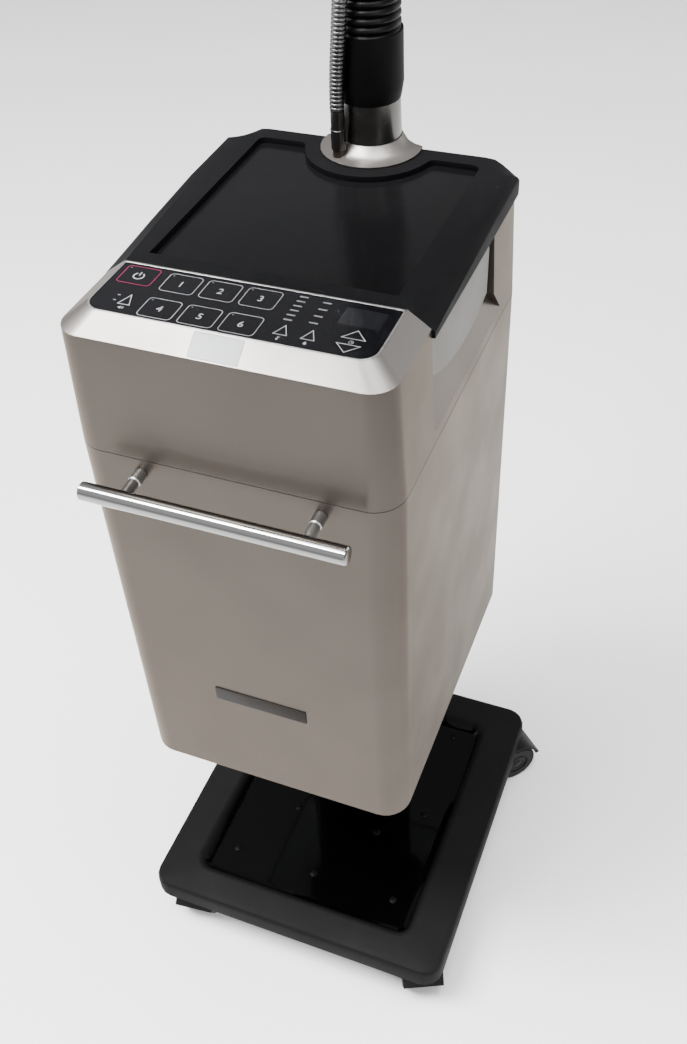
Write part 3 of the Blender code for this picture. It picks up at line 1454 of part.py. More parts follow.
def build_coupling(mats, arm, pivot):
    """Coupling on the hose end, with the trunnion that the hood tilts on."""
    centre = (0.0, HOSE_END_Y)
    socket = HOSE_VALLEY + CLEAR
    shelf = COUPLING_TOP - COUPLING_SOCKET_DEPTH
    coupling = place(
        "hood_coupling",
        turned(
            [
                (HOSE_BORE, COUPLING_BOTTOM),
                (COUPLING_LOWER_RADIUS, COUPLING_BOTTOM),
                (COUPLING_RADIUS, shelf),
                (COUPLING_RADIUS, COUPLING_TOP),
                (socket, COUPLING_TOP),
                (socket, shelf),
                (HOSE_BORE, shelf),
            ],
            centre,
            24,
            closed=True,
        ),
        mats["black_plastic"],
        pivot,
        arm,
    )
    end_y = HOSE_Y + CONDUIT_Y - 2 * (HOSE_BEND + CONDUIT_Y)
    boss = turned(
        [(CONDUIT_BOSS_RADIUS, COUPLING_TOP - COUPLING_SOCKET_DEPTH), (CONDUIT_BOSS_RADIUS, COUPLING_TOP)],
        (CONDUIT_X, end_y),
        16,
    )
    for side in (-1, 1):
        pin = rod(
            (side * (HOSE_BORE + COUPLING_LOWER_RADIUS) / 2, HOSE_END_Y, TILT_Z),
            (side * TRUNNION_REACH, HOSE_END_Y, TILT_Z),
            TRUNNION_RADIUS,
            12,
        )
        combine(coupling, "UNION", tool("trunnion_%d" % (side + 1), pin))
    combine(coupling, "UNION", tool("coupling_boss", boss))
    socket_cut = turned([(socket, shelf), (socket, COUPLING_TOP + CLEAR)], centre, 24)
    combine(coupling, "DIFFERENCE", tool("coupling_socket", socket_cut))


def build_hood(mats, arm):
    """Dome hood with its yoke and soft rim, tilting on the coupling."""
    centre = (0.0, HOSE_END_Y)
    tilt = empty("hood_tilt", (0.0, HOSE_END_Y, TILT_Z), parent=arm)
    pivot = (0.0, HOSE_END_Y, TILT_Z)

    def hang(name, bm, mat):
        mesh = to_mesh(name, bm, pivot)
        mesh.materials.append(mat)
        obj = bpy.data.objects.new(name, mesh)
        obj.parent = tilt
        bpy.context.scene.collection.objects.link(obj)
        return obj

    yoke = hang(
        "hood_yoke",
        turned(
            [
                (YOKE_BORE, YOKE_TOP - YOKE_THICK),
                (YOKE_RADIUS, YOKE_TOP - YOKE_THICK),
                (YOKE_RADIUS, YOKE_TOP),
                (YOKE_BORE, YOKE_TOP),
            ],
            centre,
            24,
            closed=True,
        ),
        mats["black_plastic"],
    )
    inner = COUPLING_RADIUS + YOKE_EAR_GAP
    for side in (-1, 1):
        x0, x1 = sorted((side * inner, side * (inner + YOKE_EAR_THICK)))
        half = YOKE_EAR_WIDTH / 2
        section = [(-half, YOKE_TOP - YOKE_THICK / 2), (half, YOKE_TOP - YOKE_THICK / 2)]
        for s in range(9):
            a = math.radians(22.5 * s)
            section.append((half * math.cos(a), TILT_Z + half * math.sin(a)))
        ear = loft([[(x, HOSE_END_Y + y, z) for y, z in section] for x in (x0, x1)])
        combine(yoke, "UNION", tool("yoke_ear_%d" % (side + 1), ear))
    bore = rod(
        (-2 * inner, HOSE_END_Y, TILT_Z),
        (2 * inner, HOSE_END_Y, TILT_Z),
        TRUNNION_RADIUS + CLEAR,
        12,
    )
    combine(yoke, "DIFFERENCE", tool("yoke_bore", bore))
    crown_z = YOKE_TOP - YOKE_THICK - CLEAR
    rim_z = crown_z - HOOD_DEPTH

    def dome(shift):
        points = []
        first = math.asin(HOOD_CROWN / HOOD_RADIUS)
        for i in range(HOOD_STEPS + 1):
            a = first + (math.pi / 2 - first) * i / HOOD_STEPS
            drop = (math.cos(first) - math.cos(a)) / math.cos(first)
            z = crown_z - shift - (HOOD_DEPTH - shift) * drop
            points.append(((HOOD_RADIUS - shift) * math.sin(a), z))
        return points

    outside = dome(0.0)
    inside = dome(HOOD_WALL)
    inside[0] = (YOKE_BORE, inside[0][1])
    outside.insert(0, (YOKE_BORE, crown_z))
    shell = turned(outside + list(reversed(inside)), centre, 32, closed=True)
    hang("hood_shell", shell, mats["hood_clear"])
    lip = HOOD_LIP_RADIUS
    top = rim_z - CLEAR
    mid = HOOD_RADIUS - HOOD_WALL / 2
    rim = turned(
        [
            (mid - lip, top - HOOD_LIP_HEIGHT * 0.75),
            (mid - lip * 0.5, top - HOOD_LIP_HEIGHT),
            (mid + lip * 0.5, top - HOOD_LIP_HEIGHT),
            (mid + lip, top - HOOD_LIP_HEIGHT * 0.75),
            (mid + lip, top),
            (mid - lip, top),
        ],
        centre,
        32,
        closed=True,
    )
    hang("hood_rim", rim, mats["rubber"])


def main():
    """Build every piece of the steamer."""
    clear_scene()
    mats = {
        "silver_paint": material("silver_paint", (0.46, 0.43, 0.40), 0.35, 0.7),
        "black_satin": material("black_satin", (0.020, 0.020, 0.022), 0.45),
        "column_paint": material("column_paint", (0.022, 0.022, 0.024), 0.40, 0.3),
        "black_gloss": material("black_gloss", (0.008, 0.008, 0.010), 0.12),
        "black_plastic": material("black_plastic", (0.018, 0.018, 0.018), 0.55),
        "rubber": material("rubber", (0.012, 0.012, 0.012), 0.6),
        "chrome": material("chrome", (0.75, 0.75, 0.76), 0.10, 1.0),
        "dark_chrome": material("dark_chrome", (0.20, 0.19, 0.19), 0.18, 1.0),
        "steel": material("steel", (0.35, 0.35, 0.36), 0.4, 0.9),
        "lens_white": material("lens_white", (0.85, 0.86, 0.86), 0.2),
        "display_grey": material("display_grey", (0.16, 0.18, 0.21), 0.15),
        "board_green": material("board_green", (0.03, 0.14, 0.07), 0.5),
        "tank_clear": material("tank_clear", (0.75, 0.82, 0.85), 0.1, 0.0, 0.45),
        "tank_grey": material("tank_grey", (0.60, 0.58, 0.55), 0.35),
        "hood_clear": material("hood_clear", (0.70, 0.74, 0.77), 0.1, 0.0, 0.4),
    }
    build_base(mats)
    build_casters(mats)
    build_lower(mats)
    build_upper(mats)
    build_handle(mats)
    arm = build_arm(mats)
    build_hood(mats, arm)
    bpy.context.view_layer.update()


main()
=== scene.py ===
"""Looks of the hair steamer: finishes, panel marks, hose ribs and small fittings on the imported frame."""

from __future__ import annotations

import json
import logging
import math
from dataclasses import dataclass, field
from enum import Enum
from typing import Any, Callable, Dict, Iterable, List, Optional, Sequence, Tuple

import bmesh
import bpy
from mathutils import Matrix, Quaternion, Vector
from mathutils.bvhtree import BVHTree

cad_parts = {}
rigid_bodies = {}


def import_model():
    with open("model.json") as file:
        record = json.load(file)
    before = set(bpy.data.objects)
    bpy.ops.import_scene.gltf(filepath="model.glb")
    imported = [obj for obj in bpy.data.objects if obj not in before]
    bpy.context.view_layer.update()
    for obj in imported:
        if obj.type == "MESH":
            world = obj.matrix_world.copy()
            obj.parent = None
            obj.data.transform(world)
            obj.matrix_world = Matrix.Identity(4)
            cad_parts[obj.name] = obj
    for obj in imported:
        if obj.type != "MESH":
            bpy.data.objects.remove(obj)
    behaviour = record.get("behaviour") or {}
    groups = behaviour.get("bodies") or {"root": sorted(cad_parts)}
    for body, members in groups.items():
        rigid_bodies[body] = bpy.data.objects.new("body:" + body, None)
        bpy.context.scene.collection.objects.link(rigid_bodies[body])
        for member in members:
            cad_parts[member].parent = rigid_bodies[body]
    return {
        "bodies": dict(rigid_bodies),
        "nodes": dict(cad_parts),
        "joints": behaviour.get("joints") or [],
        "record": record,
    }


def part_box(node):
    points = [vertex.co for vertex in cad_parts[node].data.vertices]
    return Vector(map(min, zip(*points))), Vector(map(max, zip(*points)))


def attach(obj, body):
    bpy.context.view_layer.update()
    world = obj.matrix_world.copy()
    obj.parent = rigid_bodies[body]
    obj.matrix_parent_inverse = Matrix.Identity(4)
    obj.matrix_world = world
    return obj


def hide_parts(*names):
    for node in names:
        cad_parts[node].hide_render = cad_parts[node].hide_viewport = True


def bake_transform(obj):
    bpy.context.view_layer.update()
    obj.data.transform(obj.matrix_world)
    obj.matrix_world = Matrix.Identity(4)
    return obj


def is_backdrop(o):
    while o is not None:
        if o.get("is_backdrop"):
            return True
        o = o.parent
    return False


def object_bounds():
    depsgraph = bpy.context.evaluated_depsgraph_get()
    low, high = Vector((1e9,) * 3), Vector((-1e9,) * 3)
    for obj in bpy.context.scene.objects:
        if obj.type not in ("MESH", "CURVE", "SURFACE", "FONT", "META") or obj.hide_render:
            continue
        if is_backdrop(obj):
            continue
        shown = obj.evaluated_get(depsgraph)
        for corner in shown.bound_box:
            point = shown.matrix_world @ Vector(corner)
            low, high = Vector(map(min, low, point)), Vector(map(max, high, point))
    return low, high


LOG = logging.getLogger("hair_steamer")

Point2 = Tuple[float, float]
Point3 = Tuple[float, float, float]
Colour = Tuple[float, float, float]
Range = Tuple[float, float]
Line = Callable[[float], Tuple[Vector, Vector]]
BMesh = bmesh.types.BMesh

PHOTO_WIDTH = 687
PHOTO_HEIGHT = 1044
SENSOR_HEIGHT = 36.0
DUST_COLOUR: Colour = (0.34, 0.33, 0.31)
UP: Point3 = (0.0, 0.0, 1.0)

# Added marks and fittings stand this far off their surface
LIFT = 0.00005

# Dished floors: the middle, and half the width and depth
BASE_FLOOR: Point3 = (0.0, -0.005, 0.0940)
BASE_DISH: Point2 = (0.1635, 0.188)
TRAY_FLOOR: Point3 = (0.0, 0.0364, 1.0270)
TRAY_DISH: Point2 = (0.120, 0.1231)


class Body(str, Enum):
    """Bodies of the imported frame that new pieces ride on."""

    CHASSIS = "chassis"
    ARM = "arm"
    ROCKER = "rocker"


class Slot(str, Enum):
    """Material slots of the record, which new pieces name."""

    SILVER = "silver_paint"
    BLACK_GLOSS = "black_gloss"
    BLACK_PLASTIC = "black_plastic"
    RUBBER = "rubber"
    CHROME = "chrome"
    STEEL = "steel"


class Mark(Enum):
    """Plain signs printed on the keys, beside them and on the rocker."""

    POWER = "power"
    SOUND = "sound"
    WARMTH = "warmth"
    DROP = "drop"
    CLOCK = "clock"
    ON = "on"
    OFF = "off"


# Shader groups


class ShaderGroups:
    """Surface effects that several finishes share, each built once as a node group."""

    def __init__(self) -> None:
        """Build every shared effect."""
        self.grain = self._grain()
        self.handling = self._handling()
        self.tint = self._tint()
        self.dust = self._dust()
        # Painted highlight: faces that look up are lightened as if lit from above
        self.painted_top_light = self._painted_top_light()

    @staticmethod
    def _new(name: str, inputs: Dict[str, float], outputs: Dict[str, str]) -> Tuple[Any, Any, Any]:
        """Make an empty group with named sockets.

        Args:
            name: Name of the group.
            inputs: Input names with their starting values.
            outputs: Output names with their socket kinds.

        Returns:
            The node tree, its input node and its output node.
        """
        tree = bpy.data.node_groups.new(name, "ShaderNodeTree")
        for label, value in inputs.items():
            socket = tree.interface.new_socket(label, in_out="INPUT", socket_type="NodeSocketFloat")
            socket.default_value = value
        for label, kind in outputs.items():
            tree.interface.new_socket(label, in_out="OUTPUT", socket_type=kind)
        return tree, tree.nodes.new("NodeGroupInput"), tree.nodes.new("NodeGroupOutput")

    @staticmethod
    def _noise(tree: Any, scale: Any, detail: float, roughness: float) -> Any:
        """Add a noise in the object's own coordinates.

        Args:
            tree: Node tree to add to.
            scale: Socket that drives the scale.
            detail: Octaves of the noise.
            roughness: Strength of the fine octaves.

        Returns:
            The noise node.
        """
        place = tree.nodes.new("ShaderNodeTexCoord")
        noise = tree.nodes.new("ShaderNodeTexNoise")
        noise.inputs["Detail"].default_value = detail
        noise.inputs["Roughness"].default_value = roughness
        tree.links.new(place.outputs["Object"], noise.inputs["Vector"])
        tree.links.new(scale, noise.inputs["Scale"])
        return noise

    def _grain(self) -> Any:
        """Fine moulded grain as a height.

        Returns:
            The effect's node tree.
        """
        tree, source, sink = self._new("moulded_grain", {"Scale": 1400.0}, {"Height": "NodeSocketFloat"})
        noise = self._noise(tree, source.outputs["Scale"], 3.0, 0.65)
        tree.links.new(noise.outputs["Fac"], sink.inputs["Height"])
        return tree

    def _handling(self) -> Any:
        """Roughness that drifts where hands and cloths have been.

        Returns:
            The effect's node tree.
        """
        values = {"Scale": 14.0, "Low": 0.3, "High": 0.45}
        tree, source, sink = self._new("handling_marks", values, {"Roughness": "NodeSocketFloat"})
        noise = self._noise(tree, source.outputs["Scale"], 2.0, 0.45)
        spread = tree.nodes.new("ShaderNodeMapRange")
        spread.interpolation_type = "SMOOTHSTEP"
        spread.inputs["From Min"].default_value = 0.22
        spread.inputs["From Max"].default_value = 0.78
        tree.links.new(noise.outputs["Fac"], spread.inputs["Value"])
        tree.links.new(source.outputs["Low"], spread.inputs["To Min"])
        tree.links.new(source.outputs["High"], spread.inputs["To Max"])
        tree.links.new(spread.outputs["Result"], sink.inputs["Roughness"])
        return tree

    def _tint(self) -> Any:
        """Mask that mixes fine flakes with slow cloudy drift.

        Returns:
            The effect's node tree.
        """
        values = {"Fine": 2200.0, "Slow": 6.0, "Balance": 0.5}
        tree, source, sink = self._new("flake_and_drift", values, {"Mask": "NodeSocketFloat"})
        fine = self._noise(tree, source.outputs["Fine"], 1.0, 0.5)
        slow = self._noise(tree, source.outputs["Slow"], 3.0, 0.5)
        mix = tree.nodes.new("ShaderNodeMix")
        mix.data_type = "FLOAT"
        tree.links.new(source.outputs["Balance"], mix.inputs["Factor"])
        tree.links.new(fine.outputs["Fac"], mix.inputs["A"])
        tree.links.new(slow.outputs["Fac"], mix.inputs["B"])
        tree.links.new(mix.outputs["Result"], sink.inputs["Mask"])
        return tree

    def _dust(self) -> Any:
        """Mask of thin dust on what faces up.

        Returns:
            The effect's node tree.
        """
        values = {"Scale": 35.0, "Amount": 0.2}
        tree, source, sink = self._new("settled_dust", values, {"Mask": "NodeSocketFloat"})
        noise = self._noise(tree, source.outputs["Scale"], 6.0, 0.7)
        shape = tree.nodes.new("ShaderNodeNewGeometry")
        axes = tree.nodes.new("ShaderNodeSeparateXYZ")
        tree.links.new(shape.outputs["Normal"], axes.inputs["Vector"])
        facing = tree.nodes.new("ShaderNodeMapRange")
        facing.inputs["From Min"].default_value = 0.3
        tree.links.new(axes.outputs["Z"], facing.inputs["Value"])
        patch = tree.nodes.new("ShaderNodeMath")
        patch.operation = "MULTIPLY"
        tree.links.new(facing.outputs["Result"], patch.inputs[0])
        tree.links.new(noise.outputs["Fac"], patch.inputs[1])
        level = tree.nodes.new("ShaderNodeMath")
        level.operation = "MULTIPLY"
        tree.links.new(patch.outputs["Value"], level.inputs[0])
        tree.links.new(source.outputs["Amount"], level.inputs[1])
        tree.links.new(level.outputs["Value"], sink.inputs["Mask"])
        return tree

    def _painted_top_light(self) -> Any:
        """Mask of faces that look up, where a painted highlight stands in for light from above.

        Returns:
            The effect's node tree.
        """
        values = {"Start": 0.25, "Full": 0.80}
        tree, source, sink = self._new("painted_top_light_faces", values, {"Mask": "NodeSocketFloat"})
        shape = tree.nodes.new("ShaderNodeNewGeometry")
        axes = tree.nodes.new("ShaderNodeSeparateXYZ")
        tree.links.new(shape.outputs["Normal"], axes.inputs["Vector"])
        facing = tree.nodes.new("ShaderNodeMapRange")
        facing.interpolation_type = "SMOOTHSTEP"
        tree.links.new(axes.outputs["Z"], facing.inputs["Value"])
        tree.links.new(source.outputs["Start"], facing.inputs["From Min"])
        tree.links.new(source.outputs["Full"], facing.inputs["From Max"])
        tree.links.new(facing.outputs["Result"], sink.inputs["Mask"])
        return tree


# Finishes


@dataclass(frozen=True)
class Finish:
    """A surface of the steamer: two near colours, a roughness range, grain, dust and a painted highlight on
    faces that look up.
    """

    name: str
    dark: Colour
    light: Colour
    rough: Range
    metallic: float = 0.0
    grain_scale: float = 1400.0
    grain_depth: float = 0.0
    drift: float = 0.6
    fine: float = 2200.0
    slow: float = 6.0
    handling: float = 14.0
    dust: float = 0.0
    coat: float = 0.0
    coat_rough: float = 0.1
    specular: float = 0.5
    edge: Colour = (1.0, 1.0, 1.0)
    ior: float = 1.5
    transmission: float = 0.0
    # Colour of the painted highlight laid on faces that look up
    painted_top_light: Optional[Colour] = None

    def build(self, groups: ShaderGroups) -> bpy.types.Material:
        """Make the material of this finish.

        Args:
            groups: Shared surface effects.

        Returns:
            The finished material.
        """
        mat = bpy.data.materials.new(self.name)
        mat.use_nodes = True
        tree = mat.node_tree
        shader = tree.nodes["Principled BSDF"]
        shader.inputs["Metallic"].default_value = self.metallic
        shader.inputs["Coat Weight"].default_value = self.coat
        shader.inputs["Coat Roughness"].default_value = self.coat_rough
        shader.inputs["Specular IOR Level"].default_value = self.specular
        shader.inputs["Specular Tint"].default_value = (*self.edge, 1.0)
        shader.inputs["IOR"].default_value = self.ior
        shader.inputs["Transmission Weight"].default_value = self.transmission
        mask = self._group(tree, groups.tint, Fine=self.fine, Slow=self.slow, Balance=self.drift)
        colour = tree.nodes.new("ShaderNodeMix")
        colour.data_type = "RGBA"
        colour.inputs["A"].default_value = (*self.dark, 1.0)
        colour.inputs["B"].default_value = (*self.light, 1.0)
        tree.links.new(mask.outputs["Mask"], colour.inputs["Factor"])
        last = colour.outputs["Result"]
        # Painted highlight: a lighter colour laid on faces that look up, standing in for light from above
        if self.painted_top_light:
            painted_top_light = self._group(tree, groups.painted_top_light)
            last = self._laid_over(tree, last, self.painted_top_light, painted_top_light.outputs["Mask"])
        if self.dust:
            dust = self._group(tree, groups.dust, Amount=self.dust)
            last = self._laid_over(tree, last, DUST_COLOUR, dust.outputs["Mask"])
        last = self._shade_and_tone(tree, last)
        tree.links.new(last, shader.inputs["Base Color"])
        low, high = self.rough
        wear = self._group(tree, groups.handling, Scale=self.handling, Low=low, High=high)
        tree.links.new(self._roughness(tree, wear.outputs["Roughness"]), shader.inputs["Roughness"])
        if self.grain_depth:
            self._bumped(tree, groups, shader)
        mat.diffuse_color = (*self.light, 1.0)
        return mat

    def _shade_and_tone(self, tree: Any, socket: Any) -> Any:
        """Pass the colour on; a finish that changes with height overrides this."""
        return socket

    def _roughness(self, tree: Any, socket: Any) -> Any:
        """Pass the roughness on; a finish that changes with height overrides this."""
        return socket

    @staticmethod
    def _group(tree: Any, group: Any, **values: float) -> Any:
        """Place a shared effect with its own values.

        Args:
            tree: Material's node tree.
            group: Shared effect.
            **values: Values of the effect's inputs.

        Returns:
            The group node.
        """
        node = tree.nodes.new("ShaderNodeGroup")
        node.node_tree = group
        for label, value in values.items():
            node.inputs[label].default_value = value
        return node

    @staticmethod
    def _laid_over(tree: Any, below: Any, colour: Colour, mask: Any) -> Any:
        """Lay one colour over another where a mask says so.

        Args:
            tree: Material's node tree.
            below: Socket of the colour below.
            colour: Colour that is laid over it.
            mask: Socket of the mask.

        Returns:
            Socket of the mixed colour.
        """
        over = tree.nodes.new("ShaderNodeMix")
        over.data_type = "RGBA"
        over.inputs["B"].default_value = (*colour, 1.0)
        tree.links.new(mask, over.inputs["Factor"])
        tree.links.new(below, over.inputs["A"])
        return over.outputs["Result"]

    def _bumped(self, tree: Any, groups: ShaderGroups, shader: Any) -> None:
        """Give the surface its grain.

        Args:
            tree: Material's node tree.
            groups: Shared surface effects.
            shader: Surface shader that takes the normal.
        """
        grain = self._group(tree, groups.grain, Scale=self.grain_scale)
        bump = tree.nodes.new("ShaderNodeBump")
        bump.inputs["Strength"].default_value = 0.6
        bump.inputs["Distance"].default_value = self.grain_depth
        tree.links.new(grain.outputs["Height"], bump.inputs["Height"])
        tree.links.new(bump.outputs["Normal"], shader.inputs["Normal"])


@dataclass(frozen=True)
class DishedFinish(Finish):
    """Black moulding whose dished floor is polished and darker, and whose border is satin. On the base the
    darker floor is painted shade under the cabinet; on the tray it is a deeper tone of the polished floor.
    """

    floor: Point3 = (0.0, 0.0, 0.0)
    half: Point2 = (0.1, 0.1)
    floor_rough: float = 0.15
    floor_coat: float = 0.0
    # Share of the border's colour kept on the dished floor; the base's low share is painted shade under the
    # cabinet
    floor_shade_and_tone: float = 1.0
    blend: Range = (0.0005, 0.004)
    beside: float = 10.0

    def _shade_and_tone(self, tree: Any, socket: Any) -> Any:
        """Darken the colour on the dished floor: painted shade under the cabinet on the base, a deeper tone
        on the tray.

        Args:
            tree: Material's node tree.
            socket: Colour of the border.

        Returns:
            Socket of the colour over the whole piece.
        """
        near = self._ramp(tree, self._apart(tree), 1.0 - self.floor_shade_and_tone, 0.0)
        return self._laid_over(tree, socket, (0.0, 0.0, 0.0), near.outputs["Result"])

    def _roughness(self, tree: Any, socket: Any) -> Any:
        """Make the surface smoother on the dished floor.

        Args:
            tree: Material's node tree.
            socket: Roughness of the border.

        Returns:
            Socket of the roughness over the whole piece.
        """
        apart = self._apart(tree)
        near = self._ramp(tree, apart, 0.0, 1.0)
        if self.floor_coat:
            shine = self._ramp(tree, apart, self.floor_coat, 0.0)
            tree.links.new(shine.outputs["Result"], tree.nodes["Principled BSDF"].inputs["Coat Weight"])
        mix = tree.nodes.new("ShaderNodeMix")
        mix.data_type = "FLOAT"
        mix.inputs["A"].default_value = self.floor_rough
        tree.links.new(near.outputs["Result"], mix.inputs["Factor"])
        tree.links.new(socket, mix.inputs["B"])
        return mix.outputs["Result"]

    def _apart(self, tree: Any) -> Any:
        """Measure how far the surface is from the floor's height, and far more so beside the dish.

        Args:
            tree: Material's node tree.

        Returns:
            Socket of the distance.
        """
        place = tree.nodes.new("ShaderNodeTexCoord").outputs["Object"]
        reach = (*self.half, 0.0)
        for operation, step in (("SUBTRACT", self.floor), ("ABSOLUTE", None), ("SUBTRACT", reach)):
            node = tree.nodes.new("ShaderNodeVectorMath")
            node.operation = operation
            tree.links.new(place, node.inputs[0])
            if step is not None:
                node.inputs[1].default_value = step
            place = node.outputs["Vector"]
        axes = tree.nodes.new("ShaderNodeSeparateXYZ")
        tree.links.new(place, axes.inputs["Vector"])
        beside = tree.nodes.new("ShaderNodeMath")
        beside.operation = "MAXIMUM"
        steep = tree.nodes.new("ShaderNodeMath")
        steep.operation = "MULTIPLY"
        steep.inputs[1].default_value = self.beside
        apart = tree.nodes.new("ShaderNodeMath")
        apart.operation = "MAXIMUM"
        tree.links.new(axes.outputs["X"], beside.inputs[0])
        tree.links.new(axes.outputs["Y"], beside.inputs[1])
        tree.links.new(beside.outputs["Value"], steep.inputs[0])
        tree.links.new(steep.outputs["Value"], apart.inputs[0])
        tree.links.new(axes.outputs["Z"], apart.inputs[1])
        return apart.outputs["Value"]

    def _ramp(self, tree: Any, apart: Any, floor: float, border: float) -> Any:
        """Blend from a value on the floor to one on the border.

        Args:
            tree: Material's node tree.
            apart: Socket of the distance from the floor.
            floor: Value on the floor.
            border: Value on the border.

        Returns:
            The blending node.
        """
        ramp = tree.nodes.new("ShaderNodeMapRange")
        ramp.inputs["From Min"].default_value, ramp.inputs["From Max"].default_value = self.blend
        ramp.inputs["To Min"].default_value = floor
        ramp.inputs["To Max"].default_value = border
        tree.links.new(apart, ramp.inputs["Value"])
        return ramp


@dataclass
class Palette:
    """Every finish on the steamer, made once."""

    groups: ShaderGroups = field(default_factory=ShaderGroups)
    made: Dict[str, bpy.types.Material] = field(default_factory=dict)

    def finishes(self) -> List[Finish]:
        """List the finishes.

        Returns:
            All finishes of the steamer and its floor.
        """
        return [
            # The silver paint carries a painted highlight on faces that look up
            Finish("silver_paint", (0.052, 0.0445, 0.039), (0.065, 0.0565, 0.050), (0.34, 0.42),
                   metallic=0.90, edge=(0.74, 0.68, 0.62), painted_top_light=(0.175, 0.165, 0.156), grain_scale=900.0,
                   grain_depth=0.00002, drift=0.55, coat=0.06, coat_rough=0.12),
            Finish("silver_trim", (0.200, 0.196, 0.191), (0.250, 0.246, 0.240), (0.22, 0.30), metallic=0.55,
                   slow=40.0),
            # The base's dished floor is darkened almost to black as painted shade under the cabinet
            DishedFinish("base_black", (0.0042, 0.0042, 0.0044), (0.0063, 0.0063, 0.0066), (0.46, 0.58),
                         grain_scale=1100.0, grain_depth=0.00006, dust=0.008, floor=BASE_FLOOR,
                         half=BASE_DISH, floor_rough=0.10, floor_coat=0.14, floor_shade_and_tone=0.07,
                         blend=(0.003, 0.011), coat_rough=0.06, specular=0.02),
            DishedFinish("tray_black", (0.0026, 0.0026, 0.0030), (0.0046, 0.0046, 0.0052), (0.50, 0.60),
                         grain_scale=1500.0, grain_depth=0.00003, dust=0.006, floor=TRAY_FLOOR,
                         half=TRAY_DISH, floor_rough=0.20, floor_coat=0.15, floor_shade_and_tone=0.75,
                         coat_rough=0.14, specular=0.025),
            Finish("column_black", (0.0040, 0.0040, 0.0044), (0.0075, 0.0075, 0.0080), (0.38, 0.50),
                   grain_scale=700.0, grain_depth=0.00005, dust=0.02, specular=0.12),
            Finish("panel_gloss", (0.0022, 0.0022, 0.0030), (0.0042, 0.0042, 0.0052), (0.14, 0.22),
                   coat=0.03, coat_rough=0.05, handling=30.0, specular=0.16),
            Finish("moulded_black", (0.0032, 0.0032, 0.0033), (0.0064, 0.0064, 0.0066), (0.46, 0.60),
                   grain_scale=1300.0, grain_depth=0.00006, dust=0.012, specular=0.10),
            Finish("screw_black", (0.0012, 0.0012, 0.0013), (0.0024, 0.0024, 0.0026), (0.34, 0.46),
                   specular=0.05),
            Finish("soft_rubber", (0.0008, 0.0008, 0.0009), (0.0018, 0.0018, 0.0019), (0.46, 0.60),
                   grain_scale=1800.0, grain_depth=0.00005, specular=0.06),
            Finish("hose_black", (0.0012, 0.0012, 0.0014), (0.0026, 0.0026, 0.0028), (0.32, 0.44),
                   grain_scale=1500.0, grain_depth=0.00003, specular=0.10),
            Finish("hub_grey", (0.005, 0.005, 0.0053), (0.009, 0.009, 0.0094), (0.42, 0.56),
                   grain_scale=1300.0, grain_depth=0.00004, specular=0.10),
            Finish("bright_plating", (0.20, 0.198, 0.197), (0.25, 0.248, 0.246), (0.04, 0.10), metallic=1.0,
                   handling=40.0),
            Finish("satin_metal", (0.28, 0.275, 0.27), (0.34, 0.335, 0.33), (0.30, 0.40), metallic=1.0,
                   handling=40.0),
            Finish("dark_plating", (0.105, 0.099, 0.095), (0.135, 0.128, 0.123), (0.24, 0.28), metallic=1.0,
                   handling=60.0),
            Finish("conduit_plating", (0.085, 0.085, 0.087), (0.135, 0.135, 0.138), (0.26, 0.38),
                   metallic=1.0, handling=90.0),
            Finish("zinc_sheet", (0.33, 0.34, 0.35), (0.44, 0.45, 0.46), (0.32, 0.50), metallic=0.9,
                   slow=60.0),
            Finish("lens_frost", (0.32, 0.325, 0.33), (0.36, 0.365, 0.37), (0.34, 0.44)),
            Finish("display_glass", (0.0065, 0.0065, 0.008), (0.011, 0.011, 0.013), (0.10, 0.18), coat=0.05,
                   coat_rough=0.04, slow=40.0, specular=0.3),
            Finish("solder_mask", (0.010, 0.070, 0.030), (0.020, 0.100, 0.045), (0.30, 0.45), slow=90.0),
            Finish("tank_clear", (0.66, 0.74, 0.78), (0.76, 0.82, 0.85), (0.06, 0.14), transmission=0.85,
                   ior=1.38),
            Finish("tank_grey", (0.105, 0.097, 0.089), (0.128, 0.119, 0.110), (0.46, 0.56),
                   grain_scale=1500.0, grain_depth=0.00003, specular=0.12),
            Finish("dock_grey", (0.120, 0.112, 0.104), (0.165, 0.155, 0.145), (0.40, 0.52),
                   grain_scale=1300.0, grain_depth=0.00004),
            Finish("hood_clear", (0.80, 0.83, 0.84), (0.86, 0.88, 0.89), (0.04, 0.10), transmission=0.92,
                   ior=1.45),
            Finish("print_white", (0.22, 0.22, 0.225), (0.29, 0.29, 0.295), (0.40, 0.55), slow=200.0),
            Finish("print_grey", (0.105, 0.105, 0.108), (0.150, 0.150, 0.154), (0.35, 0.50), slow=200.0),
            Finish("print_dim", (0.055, 0.055, 0.058), (0.085, 0.085, 0.088), (0.35, 0.50), slow=200.0),
            Finish("print_red", (0.085, 0.003, 0.020), (0.120, 0.006, 0.030), (0.35, 0.50), slow=200.0),
            Finish("plate_brown", (0.0060, 0.0044, 0.0038), (0.0110, 0.0084, 0.0074), (0.40, 0.52),
                   grain_scale=900.0, grain_depth=0.00003, specular=0.08),
            Finish("floor_pale", (0.80, 0.80, 0.79), (0.85, 0.85, 0.84), (0.45, 0.60), slow=1.2,
                   handling=3.0),
        ]

    def mix(self) -> "Palette":
        """Make every material.

        Returns:
            The palette itself.
        """
        for finish in self.finishes():
            self.made[finish.name] = finish.build(self.groups)
        return self

    def __getitem__(self, name: str) -> bpy.types.Material:
        """Give a material by its finish's name."""
        return self.made[name]


# Mesh work


